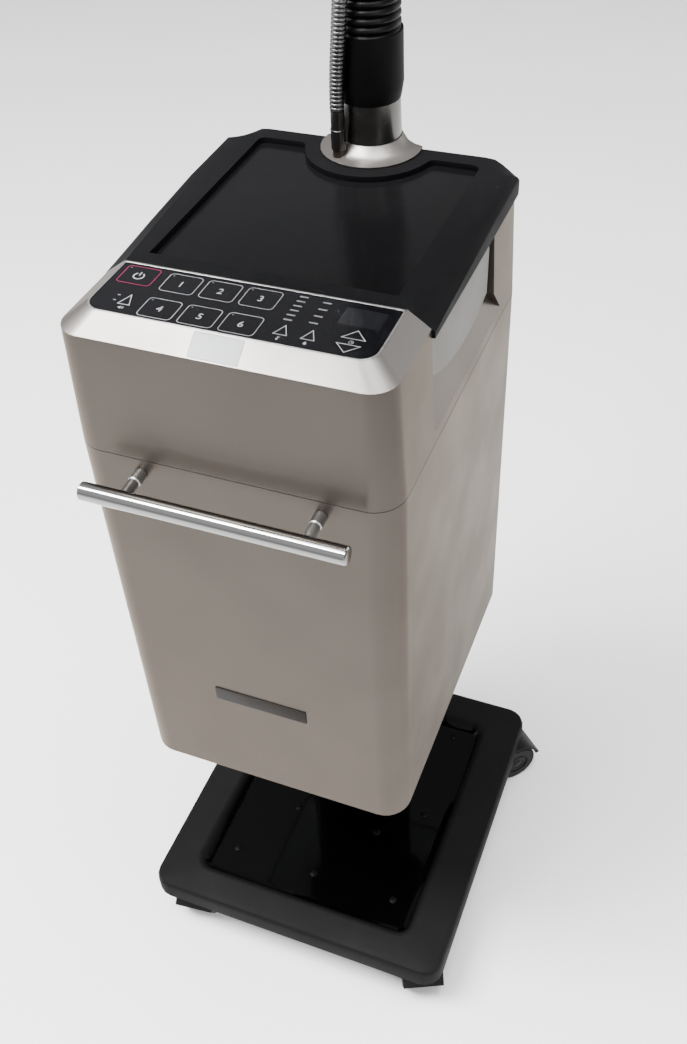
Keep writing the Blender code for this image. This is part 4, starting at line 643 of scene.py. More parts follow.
class MeshKit:
    """Ways of making meshes that the sub-assemblies share."""

    @staticmethod
    def loft(rings: Sequence[Sequence[Point3]], closed: bool = False) -> BMesh:
        """Skin a row of rings with equal point counts.

        Args:
            rings: Rings of points in order.
            closed: Joins the last ring to the first; an open row gets a face at both ends.

        Returns:
            The skinned mesh.
        """
        bm = bmesh.new()
        loops = [[bm.verts.new(p) for p in ring] for ring in rings]
        pairs = list(zip(loops, loops[1:]))
        if closed:
            pairs.append((loops[-1], loops[0]))
        for low, high in pairs:
            for i in range(len(low)):
                j = (i + 1) % len(low)
                bm.faces.new((low[i], low[j], high[j], high[i]))
        if not closed:
            bm.faces.new(loops[0])
            bm.faces.new(loops[-1])
        return bm

    @staticmethod
    def circle(radius: float, z: float, centre: Point2, steps: int) -> List[Point3]:
        """Ring of points round a vertical axis."""
        turns = [2 * math.pi * (i + 0.5) / steps for i in range(steps)]
        return [(centre[0] + radius * math.cos(a), centre[1] + radius * math.sin(a), z) for a in turns]

    @classmethod
    def turned(cls, profile: Sequence[Point2], centre: Point2, steps: int) -> BMesh:
        """Turn a profile of (radius, height) points round a vertical axis.

        Args:
            profile: Points from one end to the other.
            centre: Axis in plan.
            steps: Sides of the turned piece.

        Returns:
            The turned mesh.
        """
        return cls.loft([cls.circle(r, z, centre, steps) for r, z in profile])

    @staticmethod
    def oblong(low: Point2, high: Point2, radius: float, steps: int, rear: float = 0.0) -> List[Point2]:
        """Outline of a rectangle with rounded corners.

        Args:
            low: Corner with the lower coordinates.
            high: Corner with the higher coordinates.
            radius: Radius of the corners.
            steps: Straight pieces in each corner.
            rear: Radius of the two rear corners, where it differs.

        Returns:
            The outline's points, anticlockwise.
        """
        (x0, y0), (x1, y1) = low, high
        corners = ((x1, y0, -1, 1), (x1, y1, -1, -1), (x0, y1, 1, -1), (x0, y0, 1, 1))
        points: List[Point2] = []
        for k, (x, y, sx, sy) in enumerate(corners):
            r = rear if rear and y == y1 else radius
            for s in range(steps + 1):
                a = math.radians(-90 + 90 * k + 90 * s / steps)
                points.append((x + sx * r + r * math.cos(a), y + sy * r + r * math.sin(a)))
        return points

    @staticmethod
    def shrunk(outline: Sequence[Point2], amount: float) -> List[Point2]:
        """Move an anticlockwise or clockwise outline inwards by the same amount on every side.

        Args:
            outline: Corner points.
            amount: Distance; a negative one moves outwards.

        Returns:
            The moved outline.
        """
        count = len(outline)
        area = sum(
            outline[i][0] * outline[(i + 1) % count][1] - outline[(i + 1) % count][0] * outline[i][1]
            for i in range(count)
        )
        way = -1.0 if area > 0 else 1.0
        points: List[Point2] = []
        for i in range(count):
            before = (Vector(outline[i]) - Vector(outline[i - 1])).normalized()
            after = (Vector(outline[(i + 1) % count]) - Vector(outline[i])).normalized()
            n0 = Vector((before.y, -before.x)) * way
            n1 = Vector((after.y, -after.x)) * way
            moved = Vector(outline[i]) + (n0 + n1) * (amount / max(0.2, 1.0 + n0.dot(n1)))
            points.append((moved.x, moved.y))
        return points

    @classmethod
    def band(cls, outline: Sequence[Point2], width: float, z0: float, z1: float) -> BMesh:
        """Thin raised line that follows an outline on its inner side.

        Args:
            outline: Outer edge of the line.
            width: Width of the line.
            z0: Height of its foot.
            z1: Height of its top.

        Returns:
            The line's mesh.
        """
        inner = cls.shrunk(outline, width)
        edges = ((outline, z0), (outline, z1), (inner, z1), (inner, z0))
        return cls.loft([[(x, y, z) for x, y in edge] for edge, z in edges], closed=True)

    @classmethod
    def plate(cls, outline: Sequence[Point2], z0: float, z1: float, edge: float = 0.0) -> BMesh:
        """Flat piece over an outline, with its upper edge eased.

        Args:
            outline: Edge of the piece.
            z0: Height of its foot.
            z1: Height of its top.
            edge: Size of the eased edge.

        Returns:
            The piece's mesh.
        """
        rings = [[(x, y, z0) for x, y in outline]]
        if edge:
            rings.append([(x, y, z1 - edge) for x, y in outline])
            rings.append([(x, y, z1 - 0.3 * edge) for x, y in cls.shrunk(outline, 0.3 * edge)])
            rings.append([(x, y, z1) for x, y in cls.shrunk(outline, edge)])
        else:
            rings.append([(x, y, z1) for x, y in outline])
        return cls.loft(rings)

    @staticmethod
    def moved(bm: BMesh, matrix: Matrix) -> BMesh:
        """Move or turn a mesh."""
        bmesh.ops.transform(bm, matrix=matrix, verts=bm.verts)
        return bm

    @staticmethod
    def joined(parts: Iterable[BMesh]) -> BMesh:
        """Put several meshes into one.

        Args:
            parts: Meshes, which are used up.

        Returns:
            The joined mesh.
        """
        whole = bmesh.new()
        for part in parts:
            mesh = bpy.data.meshes.new("part")
            part.to_mesh(mesh)
            part.free()
            whole.from_mesh(mesh)
            bpy.data.meshes.remove(mesh)
        return whole

    @staticmethod
    def sign(text: str, size: float, thick: float) -> BMesh:
        """Plain numeral lying flat about the origin.

        Args:
            text: Numeral to draw.
            size: Height of the type.
            thick: How far it stands up.

        Returns:
            The numeral's mesh.
        """
        curve = bpy.data.curves.new("numeral", "FONT")
        curve.body = text
        curve.size = size
        curve.align_x = "CENTER"
        curve.align_y = "CENTER"
        curve.extrude = thick / 2
        curve.resolution_u = 4
        holder = bpy.data.objects.new("numeral", curve)
        bpy.context.scene.collection.objects.link(holder)
        graph = bpy.context.evaluated_depsgraph_get()
        mesh = bpy.data.meshes.new_from_object(holder.evaluated_get(graph))
        bm = bmesh.new()
        bm.from_mesh(mesh)
        bpy.data.objects.remove(holder, do_unlink=True)
        bpy.data.curves.remove(curve)
        bpy.data.meshes.remove(mesh)
        return bm


class Signs:
    """Plain signs, drawn flat about the origin as thin plates."""

    def __init__(self, size: float, thick: float) -> None:
        """Keep the size of the signs.

        Args:
            size: Height of a sign.
            thick: How far a sign stands up.
        """
        self.size = size
        self.thick = thick

    def _plate(self, outline: Sequence[Point2]) -> BMesh:
        """Thin plate over an outline given in parts of the sign's height."""
        return MeshKit.plate([(x * self.size, y * self.size) for x, y in outline], -self.thick, 0.0)

    def _arc(
        self, radius: float, width: float, start: float, end: float, centre: Point2 = (0.0, 0.0)
    ) -> BMesh:
        """Bent strip from one angle to another.

        Args:
            radius: Middle radius, in parts of the sign's height.
            width: Width of the strip.
            start: First angle in degrees.
            end: Last angle in degrees.
            centre: Middle of the arc.

        Returns:
            The strip's mesh.
        """
        steps = max(6, int(abs(end - start) / 15))
        turns = [math.radians(start + (end - start) * i / steps) for i in range(steps + 1)]
        inner, outer = (
            [(centre[0] + r * math.cos(t), centre[1] + r * math.sin(t)) for t in turns]
            for r in (radius - width / 2, radius + width / 2)
        )
        corners = zip(outer, outer[1:], inner[1:], inner)
        return MeshKit.joined(self._plate(strip) for strip in corners)

    def _bar(self, x0: float, y0: float, x1: float, y1: float) -> BMesh:
        """Straight bar between two corners."""
        return self._plate([(x0, y0), (x1, y0), (x1, y1), (x0, y1)])

    def draw(self, mark: Mark) -> BMesh:
        """Draw one sign.

        Args:
            mark: Which sign.

        Returns:
            The sign's mesh, facing up.
        """
        parts = {
            Mark.POWER: self._power,
            Mark.SOUND: self._sound,
            Mark.WARMTH: self._warmth,
            Mark.DROP: self._drop,
            Mark.CLOCK: self._clock,
            Mark.ON: lambda: [self._bar(-0.08, -0.5, 0.08, 0.5)],
            Mark.OFF: lambda: [self._arc(0.42, 0.15, 0.0, 360.0)],
        }[mark]()
        return MeshKit.joined(parts)

    def _power(self) -> List[BMesh]:
        """Open ring with an upright bar."""
        return [self._arc(0.40, 0.10, 125.0, 415.0), self._bar(-0.05, 0.08, 0.05, 0.52)]

    def _sound(self) -> List[BMesh]:
        """Horn with two waves."""
        horn = [(-0.55, -0.18), (-0.30, -0.18), (0.0, -0.45), (0.0, 0.45), (-0.30, 0.18), (-0.55, 0.18)]
        return [self._plate(horn), self._arc(0.28, 0.09, -45.0, 45.0), self._arc(0.52, 0.09, -45.0, 45.0)]

    def _warmth(self) -> List[BMesh]:
        """Bulb with a stem and two level lines."""
        return [
            self._arc(0.11, 0.22, 0.0, 360.0, (0.0, -0.30)),
            self._bar(-0.09, -0.25, 0.09, 0.50),
            self._bar(0.20, 0.10, 0.42, 0.19),
            self._bar(0.20, 0.32, 0.42, 0.41),
        ]

    def _drop(self) -> List[BMesh]:
        """Drop of water."""
        turns = [math.radians(-200.0 + 220.0 * i / 12) for i in range(13)]
        outline = [(0.0, 0.52)] + [(0.32 * math.cos(t), -0.16 + 0.32 * math.sin(t)) for t in turns]
        return [self._plate(outline)]

    def _clock(self) -> List[BMesh]:
        """Ring with two hands."""
        hands = [self._bar(-0.045, -0.045, 0.045, 0.30), self._bar(-0.045, -0.045, 0.24, 0.045)]
        return [self._arc(0.44, 0.09, 0.0, 360.0)] + hands


class Workshop:
    """Puts pieces on the frame and dresses its nodes."""

    HARD_EDGE: float = 28.0
    WELD: float = 1e-6
    DOUBLES: float = 1e-7
    FACE_WEIGHT: int = 80

    def __init__(self, frame: Dict[str, Any], palette: Palette) -> None:
        """Keep the frame and the finishes.

        Args:
            frame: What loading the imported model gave.
            palette: Finishes of the steamer.
        """
        self.nodes: Dict[str, bpy.types.Object] = frame["nodes"]
        self.palette = palette

    def piece(
        self,
        name: str,
        bm: BMesh,
        finish: str,
        body: str,
        slot: Slot,
        replaces: Sequence[str] = (),
        angle: float = 35.0,
        ride: bool = True,
    ) -> bpy.types.Object:
        """Add a new piece that rides on a body.

        Args:
            name: Name of the piece.
            bm: Its mesh in the row frame, which is used up.
            finish: Name of its finish.
            body: Body it moves with.
            slot: Material slot it belongs to; not used.
            replaces: Nodes that it stands for.
            angle: Edges sharper than this stay sharp, in degrees.
            ride: Leaves the piece unattached to any body when it is false.

        Returns:
            The new object.
        """
        bmesh.ops.remove_doubles(bm, verts=bm.verts, dist=self.DOUBLES)
        bmesh.ops.recalc_face_normals(bm, faces=bm.faces)
        mesh = bpy.data.meshes.new(name)
        bm.to_mesh(mesh)
        bm.free()
        mesh.shade_smooth()
        mesh.set_sharp_from_angle(angle=math.radians(angle))
        mesh.materials.append(self.palette[finish])
        obj = bpy.data.objects.new(name, mesh)
        bpy.context.scene.collection.objects.link(obj)
        if ride:
            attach(obj, body)
        if replaces:
            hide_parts(*replaces)
        LOG.info("piece %s on %s", name, body)
        return obj

    def dress(self, finish: str, *names: str) -> None:
        """Give nodes of the frame a finish.

        Args:
            finish: Name of the finish.
            *names: Nodes to dress.
        """
        for name in names:
            node = self.nodes[name]
            node.data.materials.clear()
            node.data.materials.append(self.palette[finish])
            node.data.shade_smooth()
            weld = node.modifiers.new("weld", "WELD")
            weld.merge_threshold = self.WELD
            split = node.modifiers.new("hard_edges", "EDGE_SPLIT")
            split.split_angle = math.radians(self.HARD_EDGE)
            node.modifiers.new("flat_faces", "WEIGHTED_NORMAL").weight = self.FACE_WEIGHT
            LOG.info("node %s in %s", name, finish)

    def seat(self, node: str, start: Point3, way: Point3, up: Point3) -> Matrix:
        """Find where a straight line meets a node.

        Args:
            node: Node that is met.
            start: Point outside the node.
            way: Direction from there towards it.
            up: Direction that becomes the upper edge of what is seated.

        Returns:
            Placement on the surface, with +Z away from it.
        """
        obj = self.nodes[node]
        tree = BVHTree.FromObject(obj, bpy.context.evaluated_depsgraph_get())
        into = obj.matrix_world.inverted()
        origin = into @ Vector(start)
        place, normal, _, _ = tree.ray_cast(origin, (into.to_3x3() @ Vector(way)).normalized())
        if place is None:
            raise ValueError("nothing of %s lies that way" % node)
        away = (obj.matrix_world.to_3x3() @ normal).normalized()
        across = Vector(up).cross(away).normalized()
        basis = Matrix((across, away.cross(across), away)).transposed().to_4x4()
        basis.translation = obj.matrix_world @ place + away * LIFT
        return basis


# Sub-assemblies


@dataclass
class Base:
    """Base cover, plate, column and casters."""

    shop: Workshop
    joints: Sequence[Dict[str, Any]]
    floor_z: float = BASE_FLOOR[2]
    hub_depth: float = 0.0253
    screw_radius: float = 0.0052
    screws: Tuple[Point2, ...] = (
        (-0.118, -0.138), (0.118, -0.138), (0.0, -0.138), (-0.061, -0.0465), (0.061, -0.0465),
        (-0.116, 0.003), (0.116, 0.003), (-0.115, 0.148), (0.115, 0.148),
    )

    def build(self) -> None:
        """Dress the base and set its screws."""
        self.shop.dress("base_black", "base_cover")
        self.shop.dress("zinc_sheet", "base_plate")
        self.shop.dress("column_black", "column")
        for side in ("front_left", "front_right", "rear_left", "rear_right"):
            self.shop.dress("moulded_black", "caster_fork_" + side, "caster_wheel_" + side)
            self._hub(side)
        self._screws()

    def _hub(self, side: str) -> None:
        """Hub discs in both faces of one twin wheel.

        Args:
            side: Which caster.
        """
        joint = next(j for j in self.joints if j["name"] == "roll_" + side)
        axis = Vector(joint["axis"])
        turn = Vector(UP).rotation_difference(axis).to_matrix().to_4x4()
        profile = [
            (0.0150, 0.0), (0.0150, 0.0006), (0.0138, 0.0012), (0.0112, 0.0012), (0.0106, 0.0006),
            (0.0072, 0.0006), (0.0066, 0.0013), (0.0048, 0.0018), (0.0012, 0.0019),
        ]
        parts = []
        for way in (-1.0, 1.0):
            disc = MeshKit.turned([(r, self.hub_depth + LIFT + h) for r, h in profile], (0.0, 0.0), 32)
            flip = Matrix.Rotation(math.pi, 4, "X") if way < 0 else Matrix.Identity(4)
            parts.append(MeshKit.moved(disc, Matrix.Translation(joint["pos_m"]) @ turn @ flip))
        discs = MeshKit.joined(parts)
        self.shop.piece("hub_" + side, discs, "hub_grey", "wheel_" + side, Slot.BLACK_PLASTIC)

    def _screws(self) -> None:
        """Dome screws on the dished floor."""
        r = self.screw_radius
        profile = [(r, 0.0), (r, 0.0005), (r * 0.86, 0.0012), (r * 0.5, 0.0019), (r * 0.12, 0.0021)]
        parts = [
            MeshKit.turned([(radius, self.floor_z + LIFT + h) for radius, h in profile], place, 24)
            for place in self.screws
        ]
        heads = MeshKit.joined(parts)
        self.shop.piece("base_screws", heads, "screw_black", Body.CHASSIS.value, Slot.BLACK_PLASTIC)


@dataclass
class Cabinet:
    """Housings, tray, rear fittings, handle and the bare front plate."""

    shop: Workshop
    front_y: float = -0.2104
    plate_z: float = 0.570
    plate_size: Point2 = (0.107, 0.019)
    plate_thick: float = 0.0012
    plate_corner: float = 0.0012
    plate_edge: float = 0.0004
    screw_radius: float = 0.0035
    screw_inset: float = 0.0070
    mark_size: float = 0.0036
    far: float = 0.1

    def build(self) -> None:
        """Dress the cabinet and add what is fixed to it."""
        shop = self.shop
        shop.dress("silver_paint", "lower_housing", "upper_housing")
        shop.dress("silver_paint", "hose_spine", "hose_collar", "tank_scoop")
        shop.dress("tray_black", "top_tray")
        shop.dress("zinc_sheet", "bottom_pan")
        shop.dress("moulded_black", "rear_panel", "power_inlet", "rocker_frame", "rocker_switch")
        shop.dress("dock_grey", "tank_dock")
        shop.dress("bright_plating", "handle_bar")
        shop.dress("satin_metal", "handle_post_left", "handle_post_right")
        self._front_plate()
        self._rear_screws()
        self._rocker_marks()

    def _rear_screws(self) -> None:
        """Socket screws in the corners of the service panel."""
        low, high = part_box("rear_panel")
        r = self.screw_radius
        head = [(r, 0.0), (r, 0.0008), (r * 0.84, 0.0015)]
        socket = [(r * 0.50, 0.0017), (r * 0.44, 0.0007), (r * 0.1, 0.0006)]
        parts = []
        for x in (low.x + self.screw_inset, high.x - self.screw_inset):
            for z in (low.z + self.screw_inset, high.z - self.screw_inset):
                place = self.shop.seat("rear_panel", (x, high.y + self.far, z), (0, -1, 0), UP)
                parts.append(MeshKit.moved(MeshKit.turned(head + socket, (0.0, 0.0), 20), place))
        self.shop.piece("rear_screws", MeshKit.joined(parts), "zinc_sheet", Body.CHASSIS.value, Slot.STEEL)

    def _rocker_marks(self) -> None:
        """On and off marks on the two halves of the mains rocker."""
        low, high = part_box("rocker_switch")
        x = (low.x + high.x) / 2
        for mark, part in ((Mark.ON, 0.74), (Mark.OFF, 0.26)):
            z = low.z + (high.z - low.z) * part
            place = self.shop.seat("rocker_switch", (x, high.y + self.far, z), (0, -1, 0), UP)
            sign = MeshKit.moved(Signs(self.mark_size, LIFT / 2).draw(mark), place)
            name = "rocker_" + mark.value
            self.shop.piece(name, sign, "print_white", Body.ROCKER.value, Slot.BLACK_PLASTIC)

    def _front_plate(self) -> None:
        """Bare dark plate on the front face."""
        x, y = (size / 2 for size in self.plate_size)
        outline = MeshKit.oblong((-x, -y), (x, y), self.plate_corner, 3)
        flat = MeshKit.plate(outline, LIFT, self.plate_thick, self.plate_edge)
        place = Matrix.Translation((0.0, self.front_y, self.plate_z))
        bm = MeshKit.moved(flat, place @ Matrix.Rotation(math.radians(90), 4, "X"))
        self.shop.piece("front_plate", bm, "plate_brown", Body.CHASSIS.value, Slot.BLACK_GLOSS)


@dataclass
class ControlPanel:
    """Overlay, keys with their printed lines, light bars, display and signal lens."""

    shop: Workshop
    line: float = 0.00055
    start_line: float = 0.0011
    arrow_line: float = 0.00075
    key_edge: float = 0.0011
    key_corner: float = 0.0042
    arrow_edge: float = 0.0013
    power_size: float = 0.0120
    numeral_size: float = 0.0115
    sign_drop: float = 0.0006
    lamp_radius: float = 0.0008
    lamp_inset: Point2 = (0.0052, 0.0046)
    trim_width: float = 0.0016
    trim_rise: float = 0.0003
    trim_gap: float = 0.00035
    trim_corners: Point2 = (0.0148, 0.0020)
    bar_half: Point2 = (0.0040, 0.0009)
    bar_corner: float = 0.0004
    bar_rows: Tuple[Tuple[float, float, float, int], ...] = (
        (0.0440, -0.1480, -0.1122, 6),
        (0.0665, -0.1462, -0.1150, 4),
    )
    spot_half: Point2 = (0.0013, 0.0007)
    spot_corner: float = 0.0003
    spot_gap: float = 0.0035
    sign_size: float = 0.0046
    sign_gap: float = 0.72
    signs: Tuple[Tuple[str, Mark], ...] = (
        ("key_volume", Mark.SOUND),
        ("key_temperature", Mark.WARMTH),
        ("key_mist", Mark.DROP),
        ("key_time_up", Mark.CLOCK),
    )

    def build(self) -> None:
        """Dress the panel and print its marks."""
        shop = self.shop
        keys = [n for n in shop.nodes if n.startswith("key_")]
        shop.dress("panel_gloss", "control_panel", *keys)
        shop.dress("display_glass", "display_window")
        shop.dress("solder_mask", "control_board")
        shop.dress("lens_frost", "signal_lens")
        for name in sorted(keys):
            self._key_marks(name)
        self._light_bars()
        self._signs()
        self._trim()

    def _key_marks(self, name: str) -> None:
        """Printed outline, sign and lamp of one key.

        Args:
            name: Node of the key, which is also its body.
        """
        low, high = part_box(name)
        top = high.z + LIFT
        centre = (low + high) / 2
        squared = name.startswith(("key_program", "key_start"))
        if squared:
            edge = Vector((self.key_edge, self.key_edge, 0.0))
            outline = MeshKit.oblong((low + edge).xy, (high - edge).xy, self.key_corner, 5)
            line = self.start_line if name == "key_start" else self.line
        else:
            outline = self._arrow(low, high, -1.0 if name.endswith("down") else 1.0)
            line = self.arrow_line
        finish = "print_red" if name == "key_start" else "print_white"
        marks = MeshKit.band(outline, line, top - LIFT / 2, top)
        self.shop.piece("line_" + name[4:], marks, finish, name, Slot.BLACK_GLOSS)
        if not squared:
            return
        if name == "key_start":
            sign = Signs(self.power_size, LIFT).draw(Mark.POWER)
        else:
            sign = MeshKit.sign(name[-1], self.numeral_size, LIFT)
        MeshKit.moved(sign, Matrix.Translation((centre.x, centre.y - self.sign_drop, top)))
        self.shop.piece("sign_" + name[4:], sign, "print_white", name, Slot.BLACK_GLOSS)
        spot = (low.x + self.lamp_inset[0], high.y - self.lamp_inset[1])
        lamp = MeshKit.turned([(self.lamp_radius, top + rise) for rise in (-LIFT / 2, LIFT)], spot, 12)
        self.shop.piece("lamp_" + name[4:], lamp, "print_dim", name, Slot.BLACK_GLOSS)

    def _arrow(self, low: Vector, high: Vector, way: float) -> List[Point2]:
        """Triangle drawn on an arrow key.

        Args:
            low: Lower corner of the key's box.
            high: Upper corner of the key's box.
            way: Points to the rear above zero, and to the front below.

        Returns:
            The triangle's corners.
        """
        edge = self.arrow_edge
        x0, x1 = low.x + edge, high.x - edge
        tip, foot = (high.y - edge, low.y + edge) if way > 0 else (low.y + edge, high.y - edge)
        return [((x0 + x1) / 2, tip), (x0, foot), (x1, foot)]

    def _light_bars(self) -> None:
        """Rows of unlit light bars beside the display, and two small lamps beside the sound key."""
        bars = []
        for x, y0, y1, count in self.bar_rows:
            for i in range(count):
                y = y0 + (y1 - y0) * i / (count - 1)
                bars.append(self._bar((x, y), self.bar_half, self.bar_corner))
        low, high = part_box("key_volume")
        for part in (0.30, 0.72):
            spot = (low.x - self.spot_gap, low.y + (high.y - low.y) * part)
            bars.append(self._bar(spot, self.spot_half, self.spot_corner))
        self.shop.piece(
            "light_bars", MeshKit.joined(bars), "print_grey", Body.CHASSIS.value, Slot.BLACK_GLOSS
        )

    @staticmethod
    def _bar(middle: Point2, half: Point2, corner: float) -> BMesh:
        """One light bar on the overlay.

        Args:
            middle: Where the bar lies.
            half: Half its length and width.
            corner: Radius of its corners.

        Returns:
            The bar's mesh.
        """
        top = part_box("control_panel")[1].z + LIFT
        low = (middle[0] - half[0], middle[1] - half[1])
        high = (middle[0] + half[0], middle[1] + half[1])
        return MeshKit.plate(MeshKit.oblong(low, high, corner, 2), top - LIFT / 2, top)

    def _signs(self) -> None:
        """Signs printed on the overlay in front of the arrow keys."""
        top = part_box("control_panel")[1].z + LIFT
        drawn = []
        for name, mark in self.signs:
            low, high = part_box(name)
            place = ((low.x + high.x) / 2, low.y - self.sign_gap * self.sign_size, top)
            sign = Signs(self.sign_size, LIFT / 2).draw(mark)
            drawn.append(MeshKit.moved(sign, Matrix.Translation(place)))
        self.shop.piece(
            "panel_signs", MeshKit.joined(drawn), "print_white", Body.CHASSIS.value, Slot.BLACK_GLOSS
        )

    def _trim(self) -> None:
        """Bright rounded trim along the rim that the overlay lies in."""
        low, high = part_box("control_panel")
        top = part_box("upper_housing")[1].z
        front, rear = self.trim_corners
        outline = MeshKit.oblong(low.xy, high.xy, front, 8, rear)
        section = ((0.0, 0.0), (0.15, 0.7), (0.5, 1.0), (0.85, 0.7), (1.0, 0.0))
        rings = []
        for part, rise in section:
            line = MeshKit.shrunk(outline, -(self.trim_gap + part * self.trim_width))
            rings.append([(x, y, top + LIFT + rise * self.trim_rise) for x, y in line])
        rings.append([(x, y, top + LIFT / 2) for x, y, _ in rings[-1]])
        rings.append([(x, y, top + LIFT / 2) for x, y, _ in rings[0]])
        bm = MeshKit.loft(rings, closed=True)
        self.shop.piece("panel_trim", bm, "silver_trim", Body.CHASSIS.value, Slot.SILVER)


@dataclass
class WaterTank:
    """Pull-out tank with its fascia and cap."""

    shop: Workshop

    def build(self) -> None:
        """Dress the tank."""
        self.shop.dress("tank_clear", "water_tank")
        self.shop.dress("tank_grey", "tank_fascia")
        self.shop.dress("moulded_black", "tank_cap")


@dataclass
class HoseArm:
    """Swivel ferrule, cuff, ribbed hose and the conduit beside it."""

    shop: Workshop
    axis_y: float = 0.172
    rise_z: float = 1.620
    bend: float = 0.200
    hose_start: float = 1.1133
    hose_end: float = 1.550
    crest: float = 0.0322
    valley: float = 0.0290
    pitch: float = 0.0080
    plain: float = 0.018
    conduit_x: float = -0.0095
    conduit_shift: float = -0.0430
    foot_x: float = -0.0217
    foot_shift: float = -0.0359
    conduit_start: float = 1.0837
    conduit_end: float = 1.5700
    conduit_radius: float = 0.0074
    lean_z: float = 1.230
    conduit_pitch: float = 0.0042
    blend_from: float = 0.06
    blend_to: float = 0.02
    seam_z: float = 1.0641
    seam_radius: float = 0.0076

    def build(self) -> None:
        """Dress the arm and lay its ribs."""
        shop = self.shop
        shop.dress("dark_plating", "swivel_ferrule", "conduit_ferrule")
        shop.dress("soft_rubber", "hose_cuff")
        self._hose()
        self._conduit()
        self._seam()

    def _path(self, x: float, shift: float, start: float, bend: float) -> Line:
        """Line up the mast, over the bend and down to the hood.

        Args:
            x: Distance from the middle plane.
            shift: Distance in front of the hose's axis.
            start: Height of the lower end.
            bend: Radius of the bend.

        Returns:
            Function from a length along the line to a point and its direction.
        """
        y0 = self.axis_y + shift
        rise = self.rise_z - start

        def at(s: float) -> Tuple[Vector, Vector]:
            """Point and direction on the line.

            Args:
                s: Length along the line.

            Returns:
                The point and the direction there.
            """
            if s <= rise:
                return Vector((x, y0, start + s)), Vector((0, 0, 1))
            a = (s - rise) / bend
            if a <= math.pi:
                place = Vector((x, y0 - bend + bend * math.cos(a), self.rise_z + bend * math.sin(a)))
                return place, Vector((0, -math.sin(a), math.cos(a)))
            return Vector((x, y0 - 2 * bend, self.rise_z - (s - rise - math.pi * bend))), Vector((0, 0, -1))

        return at

    @staticmethod
    def _tube(at: Line, marks: Sequence[Point2], sides: int) -> BMesh:
        """Skin a tube along a line.

        Args:
            at: Line from a length to a point and direction.
            marks: Lengths along the line with the tube's radius there.
            sides: Sides of the tube.

        Returns:
            The tube's mesh.
        """
        rings = []
        side = Vector((1, 0, 0))
        turns = [2 * math.pi * (k + 0.5) / sides for k in range(sides)]
        for s, radius in marks:
            place, ahead = at(s)
            other = ahead.cross(side)
            out = [side * (radius * math.cos(a)) + other * (radius * math.sin(a)) for a in turns]
            rings.append([tuple(place + step) for step in out])
        return MeshKit.loft(rings)

    def _hose(self) -> None:
        """Hose with a rounded rib every few millimetres."""
        at = self._path(0.0, 0.0, self.hose_start, self.bend)
        length = (self.rise_z - self.hose_start) + math.pi * self.bend + (self.rise_z - self.hose_end)
        marks: List[Point2] = [(0.0, self.valley)]
        count = int((length - 2 * self.plain) / self.pitch)
        for i in range(count):
            s = self.plain + i * self.pitch
            for part, depth in ((0.0, 0.0), (0.22, 0.72), (0.40, 1.0), (0.60, 1.0), (0.78, 0.72)):
                marks.append((s + part * self.pitch, self.valley + depth * (self.crest - self.valley)))
        marks.append((length, self.valley))
        tube = self._tube(at, marks, 32)
        self.shop.piece("ribbed_hose", tube, "hose_black", Body.ARM.value, Slot.RUBBER, ["arm_hose"], 60.0)

    def _conduit(self) -> None:
        """Interlocked conduit beside the hose, as one fixed mesh."""
        bend = self.bend + self.conduit_shift
        straight = self._path(self.conduit_x, self.conduit_shift, self.conduit_start, bend)

        def at(s: float) -> Tuple[Vector, Vector]:
            """Point and direction, leaning over from the ferrule to the upright run.

            Args:
                s: Length along the line.

            Returns:
                The point and the direction there.
            """
            place, ahead = straight(s)
            t = min(max((place.z - self.conduit_start) / (self.lean_z - self.conduit_start), 0.0), 1.0)
            lean = 1 - t * t * (3 - 2 * t) if place.y > self.axis_y - self.bend else 0.0
            away = Vector((self.foot_x - self.conduit_x, self.foot_shift - self.conduit_shift, 0.0))
            return place + away * lean, ahead

        length = (self.rise_z - self.conduit_start) + math.pi * bend + (self.rise_z - self.conduit_end)
        r = self.conduit_radius
        marks: List[Point2] = []
        count = int(length / self.conduit_pitch)
        step = length / count
        for i in range(count):
            s = i * step
            for part, depth in ((0.0, 0.87), (0.18, 0.87), (0.26, 0.97), (0.55, 1.0), (0.90, 0.97)):
                marks.append((s + part * step, r * depth))
        tube = self._tube(at, marks, 20)
        conduit = self.shop.piece(
            "flexible_conduit",
            tube,
            "conduit_plating",
            Body.CHASSIS.value,
            Slot.CHROME,
            ["arm_conduit"],
            angle=60.0,
            ride=False,
        )
        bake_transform(conduit)

    def _seam(self) -> None:
        """Bright ring where the two halves of the conduit's ferrule meet."""
        r = self.seam_radius
        ring = [(r, -0.0005), (r + 0.0003, -0.0003), (r + 0.0003, 0.0003), (r, 0.0005)]
        foot = (self.foot_x, self.axis_y + self.foot_shift)
        bm = MeshKit.turned([(radius, self.seam_z + h) for radius, h in ring], foot, 32)
        self.shop.piece("ferrule_seam", bm, "bright_plating", Body.CHASSIS.value, Slot.CHROME)


